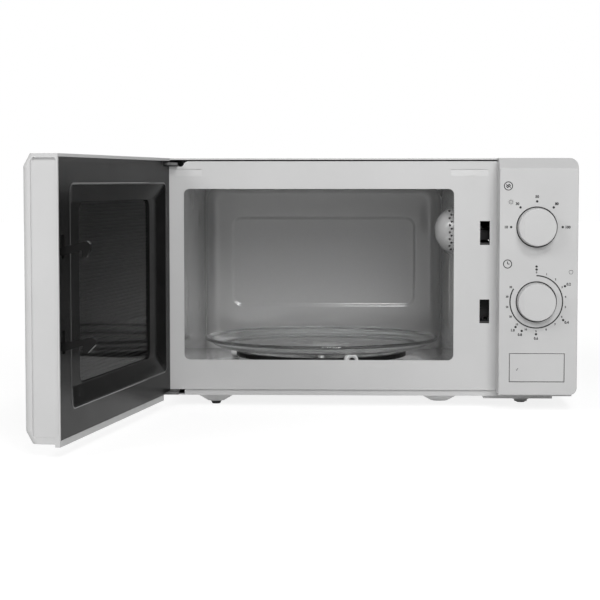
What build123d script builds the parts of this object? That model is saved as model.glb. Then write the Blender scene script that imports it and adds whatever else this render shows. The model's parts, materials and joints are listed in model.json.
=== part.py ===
from build123d import *
import os
from math import cos, radians, sin

# Oven cavity: the space that the rest of the oven is built around, in millimetres
cavity_width = 283.8
cavity_height = 200.0
cavity_depth = 290.0
floor_rise = 36.0  # worktop to cavity floor
left_gap = 30.6  # casing to cavity on the hinge side
bay_width = 125.6  # cavity to casing on the control side
top_gap = 26.0
rear_gap = 15.0
sill = 13.7  # the front plate stands this far above the cavity floor
lintel = 6.0
opening_radius = 6.0
pan_depth = 18.0  # the rear wall is a pan with a rounded rim
pan_radius = 15.0
emboss_inset = 31.8
emboss_low = 51.5
emboss_high = 42.8
emboss_depth = 3.0
emboss_radius = 18.0
emboss_taper = 30.0

# Sheet metal
sheet = 0.8
plate_sheet = 1.0
casing_radius = 5.0
casing_foot = 2.0  # the casing stops this far above the underside of the base
casing_lead = 1.5  # the casing starts this far behind the front plate's face
hem_depth = 8.0  # folded front edge, two sheets thick
fit_gap = 0.2
front_flange = 12.0
plate_top_drop = 3.1
plate_low = 18.3
plate_edge = 2.0
plate_lap = 6.0  # front plate behind the control panel
corner_cut = 27.0
corner_cut_deep = 5.5
strip_height = 6.8
strip_drop = 11.8
strip_left_inset = 16.3
strip_left_length = 31.6
strip_right_lap = 3.5
strip_right_length = 39.0
strip_depth = 0.7  # at the upper edge; the floor slopes out to the face
strip_leg = 19.8  # a short leg hangs from the right-hand strip
strip_leg_width = 4.8
strip_leg_length = 17.5
strip_leg_depth = 0.4

# Feet and base
foot_height = 3.6
cone_depth = 8.4
cone_top_radius = 23.0
cone_low_radius = 9.0
pad_radius = 6.0
pad_tip_radius = 4.3
pad_stem_radius = 2.5
pad_stem = 2.0
foot_left = 62.0
foot_right = 50.0
foot_front = 28.0
foot_rear = 35.0
foot_step = 22.0  # the foot under the controls stands further back
boss_depth = 7.5
boss_x = 81.0
base_flange = 10.0
base_inset = 2.0  # the base stands back under the front plate
tray_depth = 3.0  # shallow pan stamped under the transformer
tray_length = 140.0
tray_side = 21.0
tray_front = 6.0

# Door
door_gap = 1.4
door_clear = 1.0
door_thick = 32.3
door_wall = 2.5
door_low = 13.0
door_lip = 2.5
door_lip_depth = 4.5
door_round = 6.0
door_bevel = 10.7
door_bevel_back = 6.0
free_lip = 2.2
side_rim_front = 7.7
side_rim_low = 5.7
side_rim_high = 3.7
side_rim_back = 1.3
side_recess = 1.0
side_corner = 4.0
side_groove = 2.3
side_groove_depth = 2.0
door_open = 99.33
window_width = 272.0
window_height = 150.0
pane_thick = 2.5
pane_lap = 8.0
frame_thick = 3.0
frame_low = 3.3
frame_high = 3.0
frame_edge = 0.5
dish_free = 29.6
dish_hinge = 13.6
dish_low = 21.5
dish_high = 21.0
dish_depth = 6.0
dish_slope = 18.0
dish_slope_low = 19.0
dish_wall = 2.0
dish_radius = 9.0
dish_edge = 1.2
view_margin_x = 26.0
view_margin_low = 0.8
view_margin_high = 0.8
film_thick = 0.5
screen_thick = 0.6
mesh_pitch = 9.0
mesh_radius = 2.6
door_plate_sheet = 0.8
seal_gap = 0.3

# Hinges
hinge_inset = 6.0
hinge_back = 10.0
pin_radius = 3.0
pin_length = 4.5
run_fit = 0.05
bracket_sheet = 2.5
bracket_top_drop = 4.5
bracket_low = 13.8
bracket_inner = 23.0
bracket_round = 5.0
bracket_tail = 40.0
ear_sheet = 2.5
ear_gap = 1.5
ear_reach = 14.0
pocket_spare = 3.0
hinge_pocket_front = 11.0

# Latch
slot_width = 10.2
slot_height = 25.0
slot_inset = 12.5  # slot centre to the control panel
upper_slot = 78.1  # slot centre below the casing top
lower_slot = 101.6
hook_thick = 5.0
hook_shift = 0.8
hook_reach = 25.0
hook_arm = 7.1
hook_root = 0.9
hook_rise = 5.3
barb_length = 7.0
barb_foot = 4.0
nose_high = 13.6
lower_barb_extra = 4.0
hook_above_slot = 2.3
hook_slot_height = 20.0
hook_slack = 1.0
hook_drop = 2.0
hook_bar = 5.0
latch_wall = 2.5
latch_plate = 3.0
latch_depth = 47.0
latch_half = 7.7
ledge_height = 6.0
ledge_play = 0.5
latch_over = 18.0
switch_depth = 20.0
switch_height = 10.0
spring_radius = 2.5
spring_length = 28.0

# Control panel
panel_width = 80.8
panel_proud = 33.0
panel_low = 17.2
panel_wall = 2.5
panel_bevel = 11.0
panel_bevel_back = 12.0
panel_corner = 8.0
panel_edge = 0.9
knob_x = 42.5  # in from the right-hand side
power_drop = 71.0
timer_drop = 148.0
knob_radius = 20.0
knob_proud = 13.0
knob_taper = 4.0
knob_edge = 0.8
knob_well = 1.2
knob_ring = 1.2
facet_chord = 13.3
facet_fall = 2.2
dial_shaft_radius = 3.0
button_x = 41.4
button_low = 31.3
button_width = 56.0
button_height = 28.8
button_slit = 0.6
button_cap = 8.0
stem_side = 5.0
lever_gap = 0.7
lever_drop = 30.0
lever_hub = 4.0
lever_pin = 2.0
lever_y = 6.0
lever_z = 78.0
lever_reach = 17.0
lever_side = 0.6
lever_tip = 3.5
lever_spare = 1.2

# Timer
timer_width = 54.0
timer_depth = 38.0
timer_above = 31.0
timer_below = 30.0
bell_radius = 18.0
bell_depth = 9.0
shaft_depth = 20.0

# Turntable
tray_radius = 132.5
rim_run = 16.5
tray_thick = 4.0
tray_rim = 7.2
tray_y = 145.5
roller_radius = 7.5
roller_width = 7.0
ring_inset = 16.0
ring_width = 7.0
ring_height = 5.0
roller_start = -70.0
rollers = 3
axle_radius = 1.5
roll_gap = 0.3
coupler_radius = 17.0
coupler_height = 9.0
coupler_stub = 3.5
coupler_pass = 6.0
motor_radius = 24.0
motor_height = 20.0
motor_gap = 0.6

# Microwave source
guide_depth = 34.0
guide_length = 106.0
guide_height = 70.0
guide_y = 145.0
guide_z = 117.0
guide_wall = 1.0
port_length = 70.0
port_height = 50.0
mica_length = 128.0
mica_height = 79.0
mica_thick = 0.5
yoke_length = 56.0
yoke_width = 80.0
yoke_height = 76.0
yoke_sheet = 2.0
anode_radius = 19.0
antenna_radius = 8.0
antenna_length = 21.0
antenna_hole = 11.0
fin_count = 7
fin_sheet = 0.8
fin_margin = 4.0
filter_depth = 22.0
filter_width = 50.0
filter_height = 48.0

# Power supply
core_width = 90.0
core_depth = 44.0
core_height = 64.0
core_leg = 28.0
core_window = 14.0
core_yoke = 12.0
core_x = 23.0
core_y = 92.0
coil_overhang = 13.0
coil_gap = 4.0
coil_fit = 0.2
can_length = 92.0
can_width = 33.0
can_height = 50.0
can_x = 16.0
can_y = 222.0
clamp_width = 18.0
clamp_sheet = 1.0
clamp_foot = 10.0
diode_radius = 4.0
diode_length = 24.0
diode_y = 185.0
board_width = 92.0
board_height = 44.0
board_sheet = 1.6
board_drop = 57.0
board_stand = 10.0
fuse_radius = 3.2
gland_radius = 7.0
gland_flange = 10.0
gland_proud = 4.0
gland_bore = 3.6
gland_x = 35.0
gland_z = 45.0

# Cooling fan and lamp
fan_radius = 46.0
fan_hub = 11.0
fan_blades = 6
blade_pitch = 30.0
fan_width = 14.0
fan_x = 62.0
fan_z = 135.0
fan_shaft = 2.5
shroud_gap = 4.0
shroud_sheet = 1.5
shroud_ring = 12.0
shroud_low = 72.0
shroud_high = 196.0
shroud_from_rear = 58.0
motor_side = 50.0
motor_deep = 20.0
motor_stand = 8.0
post_radius = 3.0
lamp_x = 22.0
lamp_y = 76.0
lamp_drop = 50.0
bulb_radius = 12.0
bulb_base_radius = 9.0
bulb_base_length = 16.0
holder_wall = 3.5
holder_plate = 2.0
dome_y = 42.0
dome_radius = 25.0
dome_height = 18.5
lamp_hole_radius = 1.1
lamp_hole_pitch = 3.7
lamp_hole_step = 1.85
lamp_hole_inset = 1.5
lamp_hole_rows = 6
cutout_radius = 9.0
cutout_depth = 8.0
cutout_y = 232.0
cutout_z = 214.0

# Vents and screws
louvre_length = 22.0
louvre_height = 3.0
louvre_pitch = 8.0
louvre_count = 6
louvre_from_rear = 70.0
louvre_drop = 70.0
grille_pitch = 9.0
grille_length = 7.0
grille_height = 3.0
screw_radius = 1.8
screw_head = 3.6
screw_cap = 1.8
screw_slack = 0.05
screw_shares = (-0.85, -0.3, 0.3, 0.85)  # of half the width

# Levels and lines that follow from the sizes above
cab_width = left_gap + cavity_width + bay_width
half = cab_width / 2
hem_in = half - 2 * sheet - fit_gap
cav_left = -half + left_gap
cav_right = cav_left + cavity_width
cav_x = (cav_left + cav_right) / 2
wall_x = cav_right + sheet
ceiling = floor_rise + cavity_height
cab_top = ceiling + top_gap
rear_y = cavity_depth + rear_gap
inner_rear = rear_y - sheet
base_low = foot_height + cone_depth
base_top = base_low + plate_sheet
open_low = floor_rise + sill
open_high = ceiling - lintel
plate_left = -half + plate_edge
plate_high = cab_top - plate_top_drop
panel_left = half - panel_width
plate_right = panel_left + plate_lap
door_left = -half
door_right = panel_left - door_gap
hinge_x = door_left + hinge_inset
hinge_y = -door_clear - hinge_back
door_in = -door_clear
door_out = door_in - door_thick
door_high = cab_top
rim_y = door_in - frame_thick
black_low = door_low + frame_low
black_high = door_high - frame_high
dish_left = door_left + dish_hinge
dish_right = door_right - dish_free
dish_bottom = black_low + dish_low
dish_top = black_high - dish_high
dish_floor = door_in - dish_depth
bracket_high = cab_top - bracket_top_drop
slot_x = panel_left - slot_inset
hook_x = slot_x - hook_shift
slots = (cab_top - upper_slot, lower_slot)
panel_front = -panel_proud
dial_x = half - knob_x
dials = (cab_top - power_drop, cab_top - timer_drop)
button_mid = half - button_x
button_high = button_low + button_height

# Oven frame to part frame: the origin is under the middle of the box at rest
swing = radians(door_open)
free_edge = door_right - hinge_x
box_left = hinge_x + free_edge * cos(swing) - (door_thick - hinge_back) * sin(swing)
box_front = hinge_y - free_edge * sin(swing) + hinge_back * cos(swing)
middle_x = (box_left + half) / 2
middle_y = (box_front + rear_y + gland_proud) / 2
oven_place = Location((-middle_x, -middle_y, 0))
to_hinge = Location((hinge_x, hinge_y, 0), (0, 0, -door_open))
door_place = oven_place * to_hinge * Location((-hinge_x, -hinge_y, 0))

os.makedirs("parts", exist_ok=True)


def write(piece, label, place=oven_place):
    """Put a finished piece in the part frame, name it and save it."""
    placed = piece.part.moved(place)
    placed.label = label
    export_step(placed, f"parts/{label}.step")


def block(x, y, z, mode=Mode.ADD):
    """A box between two values on each axis."""
    with Locations(((x[0] + x[1]) / 2, (y[0] + y[1]) / 2, (z[0] + z[1]) / 2)):
        Box(x[1] - x[0], y[1] - y[0], z[1] - z[0], mode=mode)


def rod(radius, x, y, z, mode=Mode.ADD):
    """A round bar along the axis that is given as a pair of values."""
    spans = [value if isinstance(value, tuple) else (value, value) for value in (x, y, z)]
    lengths = [high - low for low, high in spans]
    turn = ((0, 90, 0), (90, 0, 0), (0, 0, 0))[lengths.index(max(lengths))]
    with Locations(tuple((low + high) / 2 for low, high in spans)):
        Cylinder(radius, max(lengths), rotation=turn, mode=mode)


def around(value, size):
    """The two ends of a size that is centred on a value."""
    return (value - size / 2, value + size / 2)


# Base plate: a shallow tray with stamped cones for the feet
foot_places = (
    (-half + foot_left, foot_front),
    (half - foot_right, foot_front + foot_step),
    (-half + foot_left, rear_y - foot_rear),
    (half - foot_right, rear_y - foot_rear),
)
side_in = half - sheet - fit_gap
tray_right = half - tray_side
tray_left = panel_left - slot_inset
with BuildPart() as base_plate:
    block((-side_in, side_in), (base_inset, inner_rear), (base_low, base_top))
    lip_y = (base_inset, base_inset + plate_sheet)
    block((-half + left_gap, hem_in), lip_y, (base_low, plate_low))
    for side in (-1, 1):
        edges = sorted((side * side_in, side * (side_in - plate_sheet)))
        block(tuple(edges), (front_flange, inner_rear), (base_low, base_low + base_flange))
    block((-side_in, side_in), (inner_rear - plate_sheet, inner_rear), (base_low, base_low + base_flange))
    tray_span = (tray_front, tray_front + tray_length)
    block((tray_left, tray_right), tray_span, (base_low - tray_depth, base_top))
    with Locations(*[(x, y, base_low - cone_depth / 2) for x, y in foot_places]):
        Cone(cone_low_radius, cone_top_radius, cone_depth)
    with Locations((boss_x, foot_front, base_low - boss_depth / 2)):
        Cone(cone_low_radius, cone_top_radius, boss_depth)
    block(
        (tray_left + plate_sheet, tray_right - plate_sheet),
        (tray_span[0] + plate_sheet, tray_span[1] - plate_sheet),
        (base_low - tray_depth + plate_sheet, base_top),
        Mode.SUBTRACT,
    )
    with Locations(*[(x, y, base_top - cone_depth / 2) for x, y in foot_places]):
        Cone(cone_low_radius, cone_top_radius, cone_depth, mode=Mode.SUBTRACT)
    with Locations((boss_x, foot_front, base_top - boss_depth / 2)):
        Cone(cone_low_radius, cone_top_radius, boss_depth, mode=Mode.SUBTRACT)
    for x, y in foot_places:
        rod(pad_stem_radius, x, y, (foot_height, base_top), Mode.SUBTRACT)
write(base_plate, "base_plate")

with BuildPart() as foot_pads:
    with Locations(*[(x, y, foot_height / 2) for x, y in foot_places]):
        Cone(pad_tip_radius, pad_radius, foot_height)
    for x, y in foot_places:
        rod(pad_stem_radius, x, y, (foot_height, foot_height + pad_stem))
write(foot_pads, "foot_pads")

# Front plate: the enamelled face round the cavity, with the two latch slots
strip_low = plate_high - strip_drop - strip_height / 2
strip_right = cav_right - strip_right_lap
strips = (
    (plate_left + strip_left_inset, strip_left_length),
    (strip_right, strip_right_length),
)
with BuildPart() as front_plate:
    with BuildSketch(Plane.XZ.offset(-plate_sheet)):
        with Locations(((plate_left + plate_right) / 2, (plate_low + plate_high) / 2)):
            Rectangle(plate_right - plate_left, plate_high - plate_low)
        with Locations((cav_x, (open_low + open_high) / 2)):
            RectangleRounded(cavity_width, open_high - open_low, opening_radius, mode=Mode.SUBTRACT)
        with Locations(*[(slot_x, z) for z in slots]):
            Rectangle(slot_width, slot_height, mode=Mode.SUBTRACT)
        with BuildLine():
            Polyline(
                (plate_left, plate_high - corner_cut_deep),
                (plate_left + corner_cut, plate_high - corner_cut_deep),
                (plate_left + corner_cut + corner_cut_deep, plate_high),
                (plate_left, plate_high),
                close=True,
            )
        make_face(mode=Mode.SUBTRACT)
    extrude(amount=plate_sheet)
    block(
        (plate_left, plate_left + plate_sheet),
        (plate_sheet, front_flange),
        (plate_low, plate_high - corner_cut_deep),
    )
    block(
        (plate_left + corner_cut + corner_cut_deep, plate_right),
        (plate_sheet, front_flange),
        (plate_high - plate_sheet, plate_high),
    )
    for start, length in strips:
        with BuildSketch(Plane.YZ.offset(start)):
            with BuildLine():
                Polyline(
                    (0, strip_low),
                    (strip_depth, strip_low + strip_height),
                    (0, strip_low + strip_height),
                    close=True,
                )
            make_face()
        extrude(amount=length, mode=Mode.SUBTRACT)
    leg_x = (strip_right + strip_leg, strip_right + strip_leg + strip_leg_width)
    block(leg_x, (0, strip_leg_depth), (strip_low - strip_leg_length, strip_low), Mode.SUBTRACT)
write(front_plate, "front_plate")

# Cavity: four walls and a rear pan
wall_y = (plate_sheet, cavity_depth)
wall_z = (floor_rise - sheet, ceiling + sheet)
with BuildPart() as cavity_left_wall:
    block((cav_left - sheet, cav_left), wall_y, wall_z)
write(cavity_left_wall, "cavity_left_wall")

# The right wall bulges into the cavity in front of the lamp, with holes in the bulge's front
lamp_z = ceiling - lamp_drop
dome_ball = (dome_radius**2 + dome_height**2) / (2 * dome_height)
dome_middle = (cav_right - dome_height + dome_ball, dome_y, lamp_z)
with BuildPart() as cavity_right_wall:
    block((cav_right, wall_x), wall_y, wall_z)
    block((cav_right, wall_x), around(guide_y, port_length), around(guide_z, port_height), Mode.SUBTRACT)
    with Locations(dome_middle):
        Sphere(dome_ball)
    split(bisect_by=Plane.YZ.offset(wall_x), keep=Keep.BOTTOM)
    with Locations(dome_middle):
        Sphere(dome_ball - sheet, mode=Mode.SUBTRACT)
    with BuildSketch(Plane.XZ.offset(-dome_y)):
        for column in (0, 1):
            hole_x = cav_right - lamp_hole_inset - column * lamp_hole_step
            with Locations((hole_x, lamp_z + (column - 0.5) * lamp_hole_pitch)):
                with GridLocations(lamp_hole_pitch, 2 * lamp_hole_pitch, 1, lamp_hole_rows):
                    Circle(lamp_hole_radius)
    extrude(amount=dome_radius, mode=Mode.SUBTRACT)
write(cavity_right_wall, "cavity_right_wall")

with BuildPart() as cavity_ceiling:
    block((cav_left, cav_right), wall_y, (ceiling, ceiling + sheet))
write(cavity_ceiling, "cavity_ceiling")

with BuildPart() as cavity_floor:
    block((cav_left, cav_right), wall_y, (floor_rise - sheet, floor_rise))
    rod(coupler_pass, cav_x, tray_y, (floor_rise - sheet, floor_rise), Mode.SUBTRACT)
write(cavity_floor, "cavity_floor")

pan_front = cavity_depth - pan_depth
emboss_z = (floor_rise + emboss_low, ceiling - emboss_high)
emboss_x = (cav_left + emboss_inset, cav_right - emboss_inset)
with BuildPart() as cavity_rear_wall:
    block((cav_left, cav_right), (pan_front, cavity_depth + sheet), (floor_rise, ceiling))
    rim = cavity_rear_wall.faces().sort_by(Axis.Y)[-1].edges()
    fillet(rim, pan_radius)
    offset(amount=-sheet, openings=cavity_rear_wall.faces().sort_by(Axis.Y)[0])
    with BuildSketch(Plane.XZ.offset(-cavity_depth - sheet)):
        with Locations((sum(emboss_x) / 2, sum(emboss_z) / 2)):
            RectangleRounded(emboss_x[1] - emboss_x[0], emboss_z[1] - emboss_z[0], emboss_radius)
    extrude(amount=-emboss_depth, taper=emboss_taper)
    with BuildSketch(Plane.XZ.offset(-cavity_depth)):
        with Locations((sum(emboss_x) / 2, sum(emboss_z) / 2)):
            RectangleRounded(emboss_x[1] - emboss_x[0], emboss_z[1] - emboss_z[0], emboss_radius)
    extrude(amount=-emboss_depth, taper=emboss_taper, mode=Mode.SUBTRACT)
write(cavity_rear_wall, "cavity_rear_wall")

# Outer casing: one bent sheet over the top and both sides
casing_low = base_low + casing_foot
louvre_y = rear_y - louvre_from_rear
louvre_z = cab_top - louvre_drop
with BuildPart() as outer_casing:
    with BuildSketch(Plane.XZ.offset(-rear_y)):
        with Locations((0, (casing_low + cab_top) / 2)):
            Rectangle(cab_width, cab_top - casing_low)
        fillet(vertices().group_by(Axis.Y)[-1], casing_radius)
    extrude(amount=rear_y - casing_lead)
    with BuildSketch(Plane.XZ.offset(-rear_y)):
        with Locations((0, (casing_low + cab_top) / 2 - sheet)):
            Rectangle(cab_width - 2 * sheet, cab_top - casing_low)
        fillet(vertices().group_by(Axis.Y)[-1], casing_radius - sheet)
    extrude(amount=rear_y - casing_lead - hem_depth, mode=Mode.SUBTRACT)
    with BuildSketch(Plane.XZ.offset(-casing_lead - hem_depth)):
        with Locations((0, (casing_low + cab_top) / 2 - 2 * sheet)):
            Rectangle(cab_width - 4 * sheet, cab_top - casing_low)
        fillet(vertices().group_by(Axis.Y)[-1], casing_radius - 2 * sheet)
    extrude(amount=hem_depth, mode=Mode.SUBTRACT)
    with BuildSketch(Plane.YZ.offset(-half)):
        with Locations((louvre_y, louvre_z)):
            with GridLocations(louvre_length + louvre_pitch, louvre_pitch, 2, louvre_count):
                SlotOverall(louvre_length, louvre_height)
    extrude(amount=cab_width, mode=Mode.SUBTRACT)
write(outer_casing, "outer_casing")

# Rear panel with the fan's grille, the cable gland's hole and the screw holes
fan_at = (wall_x + fan_x, fan_z)
grille_cells = int(2 * fan_radius / grille_pitch)
gland_at = (half - gland_x, gland_z)
screw_z = base_low + base_flange / 2
screw_places = [(share * half, screw_z) for share in screw_shares]
with BuildPart() as rear_panel:
    block((-side_in, side_in), (inner_rear, rear_y), (base_low, cab_top - sheet - fit_gap))
    fillet(rear_panel.edges().filter_by(Axis.Y).group_by(Axis.Z)[-1], casing_radius)
    with BuildSketch(Plane.XZ.offset(-rear_y)):
        with Locations(fan_at):
            with GridLocations(grille_pitch, grille_pitch, grille_cells, grille_cells):
                SlotOverall(grille_length, grille_height)
        with Locations(gland_at):
            Circle(gland_radius + screw_slack)
        with Locations(*screw_places):
            Circle(screw_radius + screw_slack)
    extrude(amount=sheet, mode=Mode.SUBTRACT)
write(rear_panel, "rear_panel")

# Control panel: a hollow moulding with a sloped top edge, open at the back
shaft_hole = dial_shaft_radius + knob_ring
with BuildPart() as control_panel:
    with BuildSketch(Plane.YZ.offset(panel_left)):
        with BuildLine():
            Polyline(
                (0, panel_low),
                (panel_front, panel_low),
                (panel_front, cab_top - panel_bevel),
                (panel_front + panel_bevel_back, cab_top),
                (0, cab_top),
                close=True,
            )
        make_face()
    extrude(amount=panel_width)
    right_edges = control_panel.faces().sort_by(Axis.X)[-1].edges().filter_by(Axis.Y)
    fillet(right_edges, panel_corner)
    fillet(control_panel.faces().sort_by(Axis.Y)[0].edges(), panel_edge)
    with BuildSketch(Plane.YZ.offset(panel_left + panel_wall)):
        with BuildLine():
            Polyline(
                (0, panel_low + panel_wall),
                (panel_front + panel_wall, panel_low + panel_wall),
                (panel_front + panel_wall, cab_top - panel_bevel - panel_wall / 2),
                (panel_front + panel_bevel_back + panel_wall / 2, cab_top - panel_wall),
                (0, cab_top - panel_wall),
                close=True,
            )
        make_face()
    extrude(amount=panel_width - 2 * panel_wall, mode=Mode.SUBTRACT)
    for z in dials:
        rod(knob_radius + knob_ring, dial_x, (panel_front, panel_front + knob_well), z, Mode.SUBTRACT)
        rod(shaft_hole, dial_x, (panel_front, panel_front + panel_wall), z, Mode.SUBTRACT)
    block(
        around(button_mid, button_width + 2 * button_slit),
        (panel_front, panel_front + panel_wall),
        (button_low - button_slit, button_high + button_slit),
        Mode.SUBTRACT,
    )
write(control_panel, "control_panel")

# Timer with its two shafts' bores, and its bell
timer_front = panel_front + panel_wall
timer_back = timer_front + timer_depth
timer_z = (dials[1] - timer_below, dials[0] + timer_above)
with BuildPart() as timer_unit:
    block(around(dial_x, timer_width), (timer_front, timer_back), timer_z)
    fillet(timer_unit.edges().filter_by(Axis.Y), knob_well)
    for z in dials:
        rod(dial_shaft_radius + run_fit, dial_x, (timer_front, timer_front + shaft_depth), z, Mode.SUBTRACT)
write(timer_unit, "timer_unit")

with BuildPart() as timer_bell:
    rod(bell_radius, dial_x, (timer_back, timer_back + bell_depth), dials[0])
    fillet(timer_bell.faces().sort_by(Axis.Y)[-1].edges(), bell_depth / 2)
write(timer_bell, "timer_bell")

# Dial knobs: a faceted face marks the setting, the shaft runs in the timer
shaft_end = timer_front + shaft_depth - run_fit
knob_back = panel_front + knob_well - roll_gap
knob_front = panel_front - knob_proud
shaft_tip = panel_front - knob_proud / 2
for label, z in zip(("power", "timer"), dials):
    with BuildPart() as shaft:
        rod(dial_shaft_radius, dial_x, (shaft_tip, shaft_end), z)
    write(shaft, f"{label}_shaft")
    with BuildPart() as knob:
        with BuildSketch(Plane(origin=(dial_x, knob_back, z), x_dir=(1, 0, 0), z_dir=(0, -1, 0))):
            Circle(knob_radius)
        extrude(amount=knob_back - knob_front, taper=knob_taper)
        fillet(knob.faces().sort_by(Axis.Y)[0].edges(), knob_edge)
        with BuildSketch(Plane.XY.offset(z - knob_radius)):
            with BuildLine():
                Polyline(
                    (dial_x - facet_chord, knob_front),
                    (dial_x - knob_radius, knob_front + facet_fall),
                    (dial_x - knob_radius, knob_front),
                    close=True,
                )
            make_face()
        extrude(amount=2 * knob_radius, mode=Mode.SUBTRACT)
        rod(dial_shaft_radius + run_fit, dial_x, (shaft_tip, knob_back), z, Mode.SUBTRACT)
    write(knob, f"{label}_knob")

# Door button and the lever that it pushes
stem_x = button_mid - button_width / 2 + stem_side
stem_z = lever_z - lever_drop
lever_front = lever_y - lever_hub / 2
stem_end = lever_front - lever_gap
with BuildPart() as door_button:
    cap_y = (panel_front, panel_front + button_cap)
    block(around(button_mid, button_width), cap_y, (button_low, button_high))
    block(
        around(button_mid, button_width - 2 * panel_wall),
        (panel_front + panel_wall, cap_y[1]),
        (button_low + panel_wall, button_high - panel_wall),
        Mode.SUBTRACT,
    )
    stem_y = (panel_front + panel_wall, stem_end)
    block(around(stem_x, stem_side), stem_y, around(stem_z, stem_side))
    fillet(door_button.faces().sort_by(Axis.Y)[0].edges(), button_slit)
write(door_button, "door_button")

# Latch hooks: two barbed arms on one bar that slides in the door
hook_bases = [z - slot_height / 2 + hook_above_slot for z in slots]
hook_span = around(hook_x, hook_thick)
dish_back = dish_floor - dish_wall
film_y = dish_back - film_thick
screen_y = film_y - screen_thick
door_plate_y = screen_y - door_plate_sheet
bar_y = (screen_y + roll_gap, screen_y + roll_gap + hook_bar)
barb_in = door_in + hook_reach - barb_length
with BuildPart() as latch_hooks:
    block(hook_span, bar_y, (hook_bases[1] + hook_root, hook_bases[0] + hook_root + hook_arm))
    for base, extra in zip(hook_bases, (0, lower_barb_extra)):
        tip = door_in + hook_reach + extra
        with BuildSketch(Plane.YZ.offset(hook_span[0])):
            with BuildLine():
                Polyline(
                    (bar_y[0], base + hook_root),
                    (door_in, base + hook_root),
                    (barb_in, base + hook_root + hook_rise),
                    (barb_in, base),
                    (barb_in + barb_foot, base),
                    (tip, base + hook_arm),
                    (tip, base + nose_high - hook_bar / 2),
                    (tip - hook_bar / 2, base + nose_high),
                    (door_in, base + hook_root + hook_arm),
                    (bar_y[0], base + hook_root + hook_arm),
                    close=True,
                )
            make_face()
        extrude(amount=hook_thick)
write(latch_hooks, "latch_hooks", door_place)

spring_top = hook_bases[1] + hook_root
spring_y = sum(bar_y) / 2
with BuildPart() as latch_spring:
    rod(spring_radius, hook_x, spring_y, (spring_top - spring_length, spring_top))
    rod(spring_radius / 2, hook_x, spring_y, (spring_top - spring_length, spring_top), Mode.SUBTRACT)
write(latch_spring, "latch_spring", door_place)

# Door shell: the white moulding, hollow from behind
ear_high = bracket_high - bracket_sheet - ear_gap
ear_low = bracket_low + bracket_sheet + ear_gap
hinge_pocket = plate_edge + bracket_inner + pocket_spare
pocket_x = (door_left, door_left + hinge_pocket)
pocket_y = (hinge_y - hinge_pocket_front, door_in)
upper_pocket = (ear_high, bracket_high + ear_gap / 2)
lower_pocket = (door_low - door_lip, ear_low)
window_z = (dish_bottom + dish_top) / 2
with BuildPart() as door_shell:
    with BuildSketch(Plane.YZ.offset(door_left)):
        with BuildLine():
            Polyline(
                (rim_y, door_low),
                (door_out + door_bevel_back, door_low),
                (door_out, door_low + door_bevel),
                (door_out, door_high - door_bevel),
                (door_out + door_bevel_back, door_high),
                (rim_y, door_high),
                close=True,
            )
        make_face()
        fillet(vertices().group_by(Axis.X)[0], door_round)
    extrude(amount=door_right - door_left)
    front_edges = door_shell.edges().filter_by(Axis.Z).group_by(Axis.Y)[0]
    fillet(front_edges, door_round)
    hollow_x = (door_left + door_wall, door_right - door_wall)
    hollow_z = (door_low + door_wall, door_high - door_wall)
    block(hollow_x, (door_out + door_wall + door_round, rim_y), hollow_z, Mode.SUBTRACT)
    block(
        (door_left + door_round, door_right - door_round),
        (door_out + door_wall, door_out + door_wall + door_round),
        (door_low + door_bevel, door_high - door_bevel),
        Mode.SUBTRACT,
    )
    block((door_left, door_right), (rim_y, door_in), (black_high + fit_gap, door_high))
    block(
        (door_left + hinge_pocket, door_right),
        (door_in - door_lip_depth, door_in),
        (door_low - door_lip, door_low + door_wall),
    )
    block((door_left + hinge_pocket, door_right), (rim_y, door_in), (door_low, black_low - fit_gap))
    block((door_right - free_lip, door_right), (rim_y, door_in), (door_low, door_high))
    recess_y = (door_out + side_rim_front, door_in - side_rim_back)
    recess_z = (door_low + side_rim_low, door_high - side_rim_high)
    with BuildSketch(Plane.YZ.offset(door_right - side_recess)):
        with Locations((sum(recess_y) / 2, sum(recess_z) / 2)):
            RectangleRounded(recess_y[1] - recess_y[0], recess_z[1] - recess_z[0], side_corner)
    extrude(amount=side_recess, mode=Mode.SUBTRACT)
    block(
        (door_right - side_groove_depth, door_right),
        (recess_y[0] + side_corner / 2, recess_y[1] - side_rim_back),
        (recess_z[1] - side_groove, recess_z[1]),
        Mode.SUBTRACT,
    )
    with BuildSketch(Plane.XZ.offset(-door_out - door_wall)):
        with Locations((cav_x, window_z)):
            RectangleRounded(window_width, window_height, dish_radius)
    extrude(amount=door_wall, mode=Mode.SUBTRACT)
    block(pocket_x, pocket_y, upper_pocket, Mode.SUBTRACT)
    block(pocket_x, pocket_y, lower_pocket, Mode.SUBTRACT)
write(door_shell, "door_shell", door_place)

with BuildPart() as door_window:
    pane_y = door_out + door_wall
    block(
        around(cav_x, window_width + 2 * pane_lap),
        (pane_y, pane_y + pane_thick),
        around(window_z, window_height + 2 * pane_lap),
    )
write(door_window, "door_window", door_place)

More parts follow.
